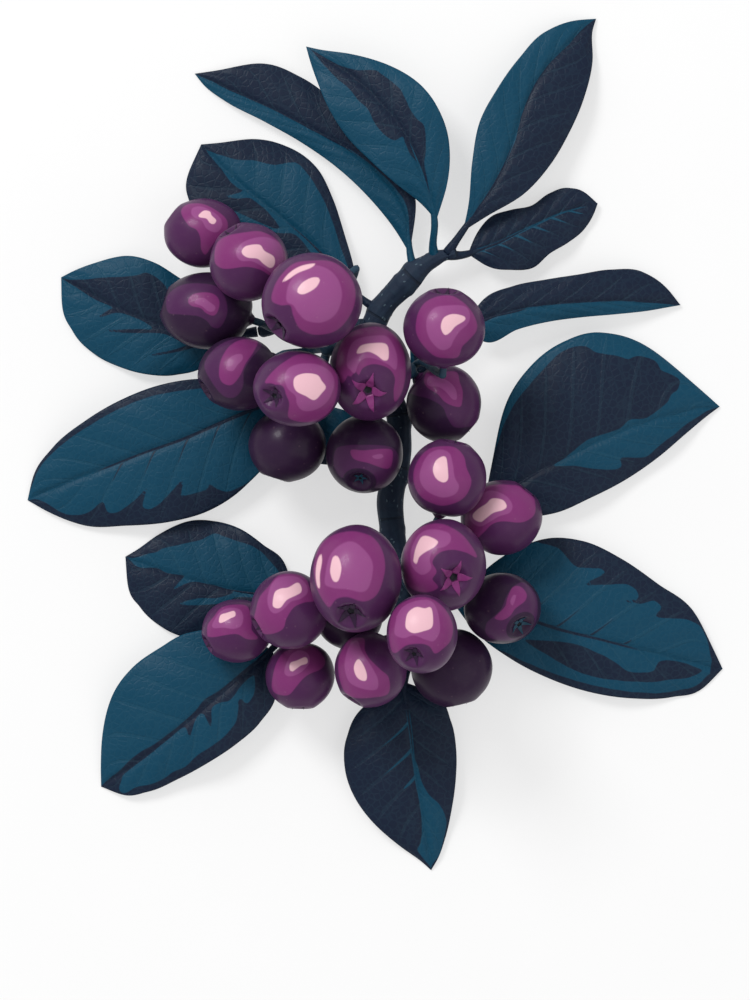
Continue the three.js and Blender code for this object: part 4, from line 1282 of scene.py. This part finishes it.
def berry_piece(name, growth, look, material, seed):
    low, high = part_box(name)
    centre, half = (low + high) / 2, (high - low) / 2
    points, _ = merged_points(name)
    shares = (points * MM - np.array(centre)) / np.array(half)
    eye = shares[int(np.argmin(np.linalg.norm(shares, axis=1)))]
    eye = Vector(eye).normalized()
    piece = grown(name + "_fruit", growth, {
        "Half Size": half, "Centre": centre, "Eye": eye, "Calyx Radius": look.calyx,
        "Basin Depth": look.basin, "Sepal Length": CALYX_SPREAD.get(name, look.sepal), "Lumps": 0.035,
        "Segments": look.segments, "Seed": seed * 1.7, "Material": material,
    })
    co = np.array([v.co for v in piece.data.vertices])
    unit = (co - np.array(centre)) / np.array(half)
    unit /= np.linalg.norm(unit, axis=1, keepdims=True)
    reach = np.hypot(unit[:, 0], unit[:, 1])
    rho = np.where(unit[:, 2] >= 0, reach, 2 - reach)
    grow = rho / np.maximum(reach, 1e-6)
    spots = unit[:, :2] * grow[:, None]
    paint = BERRY_PAINT[name]
    if "laid" in paint:
        part_middle, part_half = np.array(paint["laid"])
        spots = (spots * np.array(half)[:2] / MM - part_middle) / part_half
    star = paint.get("star", 0)
    from_eye = np.linalg.norm(unit - np.array(eye), axis=1)
    bare = TEAL_EYE if star == 2 else PLAIN_EYE
    eye_clear = from_eye - bare if eye.z > 0.3 else from_eye + 9.0
    # how far each point lies inside the painted lit patches and the painted highlight; the calyx basin stays
    # out of the lit patches
    set_field(piece, "mid", np.minimum(patch(paint.get("mid"), spots), eye_clear))
    set_field(piece, "light", np.minimum(patch(paint.get("light"), spots), eye_clear))
    painted_highlight = [patch(outline, spots) for outline in paint.get("painted_highlight", [None])]
    set_field(piece, "painted_highlight", np.max(painted_highlight, axis=0))
    set_field(piece, "deep", np.full(len(spots), float(paint.get("deep", 0))))
    set_field(piece, "from_eye", from_eye)
    set_field(piece, "star", np.full(len(spots), float(star)))
    hand_over(piece, "berry_skin", name)


def berry_skin(look):
    r = Recipe("berry_skin")
    wobble = (r.noise(240.0, 1.5, 0.4) - 0.5) * 0.16
    # painted shade and light: dark tone outside the patches, lit tones inside them, a painted highlight in
    # the middle; deep fruit are painted one tone darker all over, as fruit in shade
    deep = r.field("deep")
    base = r.blend(deep, tuple(look.painted_shade), tuple(look.deep))
    second = r.blend(deep, tuple(look.mid), tuple(look.painted_shade))
    lit_tone = r.blend(deep, tuple(look.light), tuple(look.mid))
    highlight_tone = r.blend(deep, tuple(look.painted_highlight), tuple(look.light))
    colour = r.blend(r.edge(r.field("mid") + wobble * 0.3, 0.04), base, second)
    colour = r.blend(r.edge(r.field("light") + wobble * 0.3, 0.04), colour, lit_tone)
    # the palest patch is a painted highlight
    colour = r.blend(r.edge(r.field("painted_highlight") + wobble * 0.15, 0.035), colour, highlight_tone)
    star = r.field("star")
    magenta = r.edge(0.5 - abs(star - 1.0), 0.2)
    teal = r.edge(0.5 - abs(star - 2.0), 0.2)
    point = r.blend(magenta, tuple(look.deep), tuple(look.mid))
    point = r.blend(teal, point, (0.012, 0.05, 0.085))
    colour = r.blend(r.edge(r.field("sepal") - 0.5, 0.2), colour, point)
    body = 1.0 - r.field("sepal")
    # near-black spot at the bottom of the calyx: the dried style's remains with painted shade in the pit
    pit = r.edge(0.11 - r.field("from_eye"), 0.03) * body
    colour = r.blend(pit, colour, (0.012, 0.012, 0.02))
    speck = r.node("TexVoronoi", {}, {"Vector": r.place(), "Scale": 620.0, "Randomness": 1.0})
    dots = r.edge(0.09 - speck, 0.06)
    dust = r.noise(900.0, 4.0, 0.6)
    # pale specks and dust: a little of the painted highlight's colour mixed in
    paler = r.blend(0.25, colour, tuple(look.painted_highlight))
    colour = r.blend(dots * 0.16 + (dust - 0.5) * 0.16, colour, paler)
    rough = 0.30 + dust * 0.14 + dots * 0.1
    height = dust * 0.4 - dots * 0.5
    return r.finish(
        colour, rough, [(height, 0.00003)], Specular_IOR_Level=0.14, Coat_Weight=0.05, Coat_Roughness=0.10,
    )


# ---- wood ------------------------------------------------------------------
def rough_noise(points, scale, seed):
    """Smooth repeatable bumps between -1 and 1."""
    rng = np.random.default_rng(seed)
    total = np.zeros(len(points))
    for _ in range(7):
        way = rng.normal(size=3)
        way /= np.linalg.norm(way)
        total += np.sin(points.dot(way) * scale * rng.uniform(0.6, 1.7) + rng.uniform(0, 6.28))
    return total / 4


def wood_piece(name, look, material, seed):
    rings = rings_of(name, ROD_RING)
    knots = np.array([r.mean(axis=0) for r in rings])
    radii = np.array([np.linalg.norm(r - r.mean(axis=0), axis=1).mean() for r in rings])
    if name == "twig":
        # the tip runs on between the last two petioles
        ahead = knots[0] - knots[1]
        knots = np.vstack([knots[0] + ahead / np.linalg.norm(ahead) * 1.5, knots])
        radii = np.concatenate([[radii[0] * 0.8], radii])
    else:
        # set the spur back into the twig that it grew from
        back = knots[-1] - knots[-2]
        knots = np.vstack([knots, knots[-1] + back / np.linalg.norm(back) * 1.0])
        radii = np.append(radii, radii[-1] * 1.25)
    run = np.concatenate([[0], np.cumsum(np.linalg.norm(np.diff(knots, axis=0), axis=1))])
    rows = int(run[-1] / 0.22)
    at = np.linspace(0, run[-1], rows)
    path = smooth_through(run, knots, at)
    width = smooth_through(run, radii, at)[:, 0]
    node_rings = 0.16 * np.exp(-((np.mod(at + 2.0, 7.3) - 3.6) / 0.45) ** 2)
    width = width + node_rings * (0.6 if name == "twig" else 0.4)
    if name == "twig":
        width = width * (0.55 + 0.45 * np.clip(at / 7.0, 0, 1))
    end = np.clip(at / 0.8, 0, 1)
    width = width * np.sqrt(1 - (1 - end) ** 2 * 0.9)
    around = 48
    points, faces = tube(path, width, around)
    centre = np.repeat(path, around, axis=0)
    outward = (points - centre) / np.linalg.norm(points - centre, axis=1, keepdims=True)
    turn = np.tile(np.arange(around), rows) * 2 * np.pi / around
    ridge = np.sin(turn * 9 + 1.5 * rough_noise(points, 0.5, seed)) * 0.5 + rough_noise(points, 1.3, seed + 1)
    points = points + outward * (look.grain / MM * ridge)[:, None]
    for leaf in LEAVES:
        foot = rings_of(leaf, LEAF_RING)[-1].mean(axis=0)
        near = np.exp(-(np.linalg.norm(points - foot, axis=1) / 1.1) ** 2)
        points = points + outward * (0.42 * near)[:, None]
    points[:, 2] = np.maximum(points[:, 2], 0.02)
    piece = new_piece(name + "_bark", points, faces, material)
    set_field(piece, "run", np.repeat(at, around))
    cut = np.clip((at - run[-1] + 0.3) / 0.1, 0, 1) if name == "twig" else np.zeros(rows)
    set_field(piece, "cut", np.repeat(cut, around))
    tidy_normals(piece)
    hand_over(piece, "bark", name)


def bark_skin(look):
    r = Recipe("bark_skin")
    streak = r.noise(700.0, 4.0, 0.6, 0.6)
    patch = r.noise(180.0, 3.0)
    bark = tuple(look.bark)
    pale = (0.035, 0.075, 0.11)
    colour = r.blend((streak - 0.45) * 0.9 + (patch - 0.5) * 0.5, bark, pale)
    rings = r.node("Math", {"operation": "PINGPONG"}, {0: r.field("run"), 1: 3.65})
    scar = r.edge(0.16 - rings, 0.12)
    colour = r.blend(scar * 0.5, colour, (0.006, 0.010, 0.018))
    colour = r.blend(r.field("cut"), colour, (0.10, 0.09, 0.07))
    height = streak * 0.8 + patch * 0.4 - scar * 0.7
    return r.finish(colour, 0.55 + streak * 0.25, [(height, 0.00016)], Specular_IOR_Level=0.22)


def pore_growth():
    """Small pale pores scattered over bark."""
    g = Growth("pore_growth")
    bark = g.ask("Bark", "Object")
    number = g.ask("Number", "Float", 100.0)
    size = g.ask("Size", "Float", 0.0002)
    material = g.ask("Material", "Material")
    skin = g.node("GeometryNodeObjectInfo", {}, {"Object": bark}, out="Geometry")
    spread = g.tree.nodes.new("GeometryNodeDistributePointsOnFaces")
    g.tree.links.new(skin, spread.inputs["Mesh"])
    g.tree.links.new(number, spread.inputs["Density"])
    spread.inputs["Seed"].default_value = 7
    dot = g.node("GeometryNodeMeshIcoSphere", {}, {"Radius": 1.0, "Subdivisions": 2})
    dot = g.node("GeometryNodeTransform", {}, {"Geometry": dot, "Scale": (1.5, 0.8, 0.35)})
    scatter = g.node(
        "GeometryNodeInstanceOnPoints", {},
        {"Points": spread.outputs["Points"], "Instance": dot, "Rotation": spread.outputs["Rotation"],
         "Scale": size},
    )
    g.finish(scatter, material)
    return g


def stalk_piece(name, look, material):
    """The branching fruit stalk, with its facets rounded off."""
    source = frame["nodes"][name].data.copy()
    work = bmesh.new()
    work.from_mesh(source)
    bmesh.ops.remove_doubles(work, verts=work.verts, dist=1e-6)
    work.to_mesh(source)
    work.free()
    piece = bpy.data.objects.new(name + "_wood", source)
    bpy.context.scene.collection.objects.link(piece)
    remesh = piece.modifiers.new("even", "REMESH")
    remesh.mode = "VOXEL"
    remesh.voxel_size = look.voxel
    smooth = piece.modifiers.new("round", "SMOOTH")
    smooth.factor = 0.5
    smooth.iterations = 12
    bpy.context.view_layer.update()
    mesh = bpy.data.meshes.new_from_object(piece.evaluated_get(bpy.context.evaluated_depsgraph_get()))
    bpy.data.objects.remove(piece)
    mesh.materials.clear()
    mesh.materials.append(material)
    count = len(mesh.vertices)
    co, normal = np.empty(count * 3), np.empty(count * 3)
    mesh.vertices.foreach_get("co", co)
    mesh.vertices.foreach_get("normal", normal)
    co = co.reshape(-1, 3)
    bumps = rough_noise(co / MM, 2.2, 5)
    co = co + normal.reshape(-1, 3) * (0.11 + 0.03 * bumps)[:, None] * MM
    mesh.vertices.foreach_set("co", co.reshape(-1))
    mesh.polygons.foreach_set("use_smooth", [True] * len(mesh.polygons))
    piece = bpy.data.objects.new(name + "_wood", mesh)
    bpy.context.scene.collection.objects.link(piece)
    hand_over(piece, "fruit_stalk", name)


def stalk_skin(look):
    r = Recipe("stalk_skin")
    streak = r.noise(650.0, 3.0, 0.6)
    colour = r.blend((streak - 0.4) * 1.1, tuple(look.stalk), (0.012, 0.07, 0.11))
    return r.finish(colour, 0.45 + streak * 0.2, [(streak, 0.00008)], Specular_IOR_Level=0.3)


# ---- operators -------------------------------------------------------------
class SprigAddLeaves(bpy.types.Operator):
    """Builds every leaf with its petiole"""

    bl_idname = "sprig.add_leaves"
    bl_label = "Leaves"

    def execute(self, context):
        look = context.scene.sprig_leaf
        material = leaf_skin(look)
        for number, name in enumerate(LEAVES):
            leaf_piece(name, look, material, 40 + number)
        return {"FINISHED"}


class SprigAddBerries(bpy.types.Operator):
    """Builds every berry with its calyx"""

    bl_idname = "sprig.add_berries"
    bl_label = "Berries"

    def execute(self, context):
        look = context.scene.sprig_berry
        material = berry_skin(look)
        growth = berry_growth()
        for number, name in enumerate(BERRIES):
            berry_piece(name, growth, look, material, number)
        return {"FINISHED"}


class SprigAddWood(bpy.types.Operator):
    """Builds the twig and its two spurs, with pores on the twig"""

    bl_idname = "sprig.add_wood"
    bl_label = "Twig and spurs"

    def execute(self, context):
        look = context.scene.sprig_wood
        material = bark_skin(look)
        for number, name in enumerate(WOOD):
            wood_piece(name, look, material, 90 + number)
        pores = grown("twig_pores", pore_growth(), {
            "Bark": bpy.data.objects["twig_bark"], "Number": look.pore_density, "Size": look.pore,
            "Material": pore_skin(),
        })
        hand_over(pores, "bark")
        return {"FINISHED"}


class SprigAddStalks(bpy.types.Operator):
    """Builds the two branching fruit stalks"""

    bl_idname = "sprig.add_stalks"
    bl_label = "Fruit stalks"

    def execute(self, context):
        look = context.scene.sprig_wood
        material = stalk_skin(look)
        for name in STALKS:
            stalk_piece(name, look, material)
        return {"FINISHED"}


def pore_skin():
    r = Recipe("pore_skin")
    grain = r.noise(1500.0, 2.0)
    colour = r.blend(grain, (0.05, 0.09, 0.12), (0.10, 0.14, 0.17))
    return r.finish(colour, 0.75 + grain * 0.1, [], Specular_IOR_Level=0.2)


def soft_light(name, place, size, power):
    data = bpy.data.lights.new(name, "AREA")
    data.shape = "RECTANGLE"
    data.size, data.size_y = size
    data.energy = power
    lamp = bpy.data.objects.new(name, data)
    lamp.location = place
    lamp.rotation_euler = (-Vector(place)).to_track_quat("-Z", "Y").to_euler()
    bpy.context.scene.collection.objects.link(lamp)


class SprigAddStage(bpy.types.Operator):
    """Builds the floor, lights and camera"""

    bl_idname = "sprig.add_stage"
    bl_label = "Floor, lights and camera"

    def execute(self, context):
        look = context.scene.sprig_stage
        scene = context.scene
        r = Recipe("floor_paper")
        fine = r.noise(60.0, 2.0)
        colour = r.blend(0.62 + fine * 0.01, tuple(look.floor), (0.0, 0.0, 0.0))
        floor_material = r.finish(
            colour, 0.9, [], Specular_IOR_Level=0.0, Emission_Color=(1.0, 1.0, 1.0, 1.0),
            Emission_Strength=0.59,
        )
        floor = new_piece(
            "floor", [(x * FLOOR_REACH, y * FLOOR_REACH, 0) for x, y in ((-1, -1), (1, -1), (1, 1), (-1, 1))],
            [(0, 1, 2, 3)], floor_material, smooth=False,
        )
        world = bpy.data.worlds.new("studio")
        world.use_nodes = True
        world.node_tree.nodes["Background"].inputs[0].default_value = (1.0, 1.0, 1.0, 1.0)
        world.node_tree.nodes["Background"].inputs[1].default_value = SKY
        scene.world = world
        soft_light("key", **KEY)
        soft_light("fill", **FILL)
        scene.view_settings.view_transform = "Standard"
        scene.view_settings.look = "None"
        lens = bpy.data.cameras.new("camera")
        camera = bpy.data.objects.new("camera", lens)
        scene.collection.objects.link(camera)
        low, high = CAD_BOX
        middle = (low + high) / 2
        lens.sensor_fit = "VERTICAL"
        lens.sensor_height = SENSOR
        lens.clip_start, lens.clip_end = 0.05, 20.0
        lens.lens = SENSOR * look.distance / VIEW_TALL
        camera.location = (middle.x, middle.y - VIEW_LOW, look.distance)
        camera.rotation_euler = (0.0, 0.0, 0.0)
        scene.camera = camera
        return {"FINISHED"}


class SprigPanel(bpy.types.Panel):
    """Sizes, colours and steps of the sprig"""

    bl_idname = "VIEW3D_PT_sprig"
    bl_label = "Chokeberry sprig"
    bl_space_type = "VIEW_3D"
    bl_region_type = "UI"
    bl_category = "Sprig"

    def draw(self, context):
        scene = context.scene
        for title, group, steps in (
            ("Leaves", scene.sprig_leaf, (SprigAddLeaves,)),
            ("Berries", scene.sprig_berry, (SprigAddBerries,)),
            ("Wood", scene.sprig_wood, (SprigAddWood, SprigAddStalks)),
            ("Stage", scene.sprig_stage, (SprigAddStage,)),
        ):
            box = self.layout.box()
            box.label(text=title)
            for key in group.__annotations__:
                box.prop(group, key)
            for step in steps:
                box.operator(step.bl_idname)


GROUPS = {
    "sprig_leaf": SprigLeafLook, "sprig_berry": SprigBerryLook, "sprig_wood": SprigWoodLook,
    "sprig_stage": SprigStageLook,
}
STEPS = (SprigAddLeaves, SprigAddBerries, SprigAddWood, SprigAddStalks, SprigAddStage)


def register():
    for kind in (*GROUPS.values(), *STEPS, SprigPanel):
        bpy.utils.register_class(kind)
    for key, kind in GROUPS.items():
        setattr(bpy.types.Scene, key, PointerProperty(type=kind))


def unregister():
    for key in GROUPS:
        delattr(bpy.types.Scene, key)
    for kind in (SprigPanel, *STEPS[::-1], *list(GROUPS.values())[::-1]):
        bpy.utils.unregister_class(kind)


def main():
    register()
    for step in STEPS:
        area, name = step.bl_idname.split(".")
        getattr(getattr(bpy.ops, area), name)()


if __name__ == "__main__":
    main()
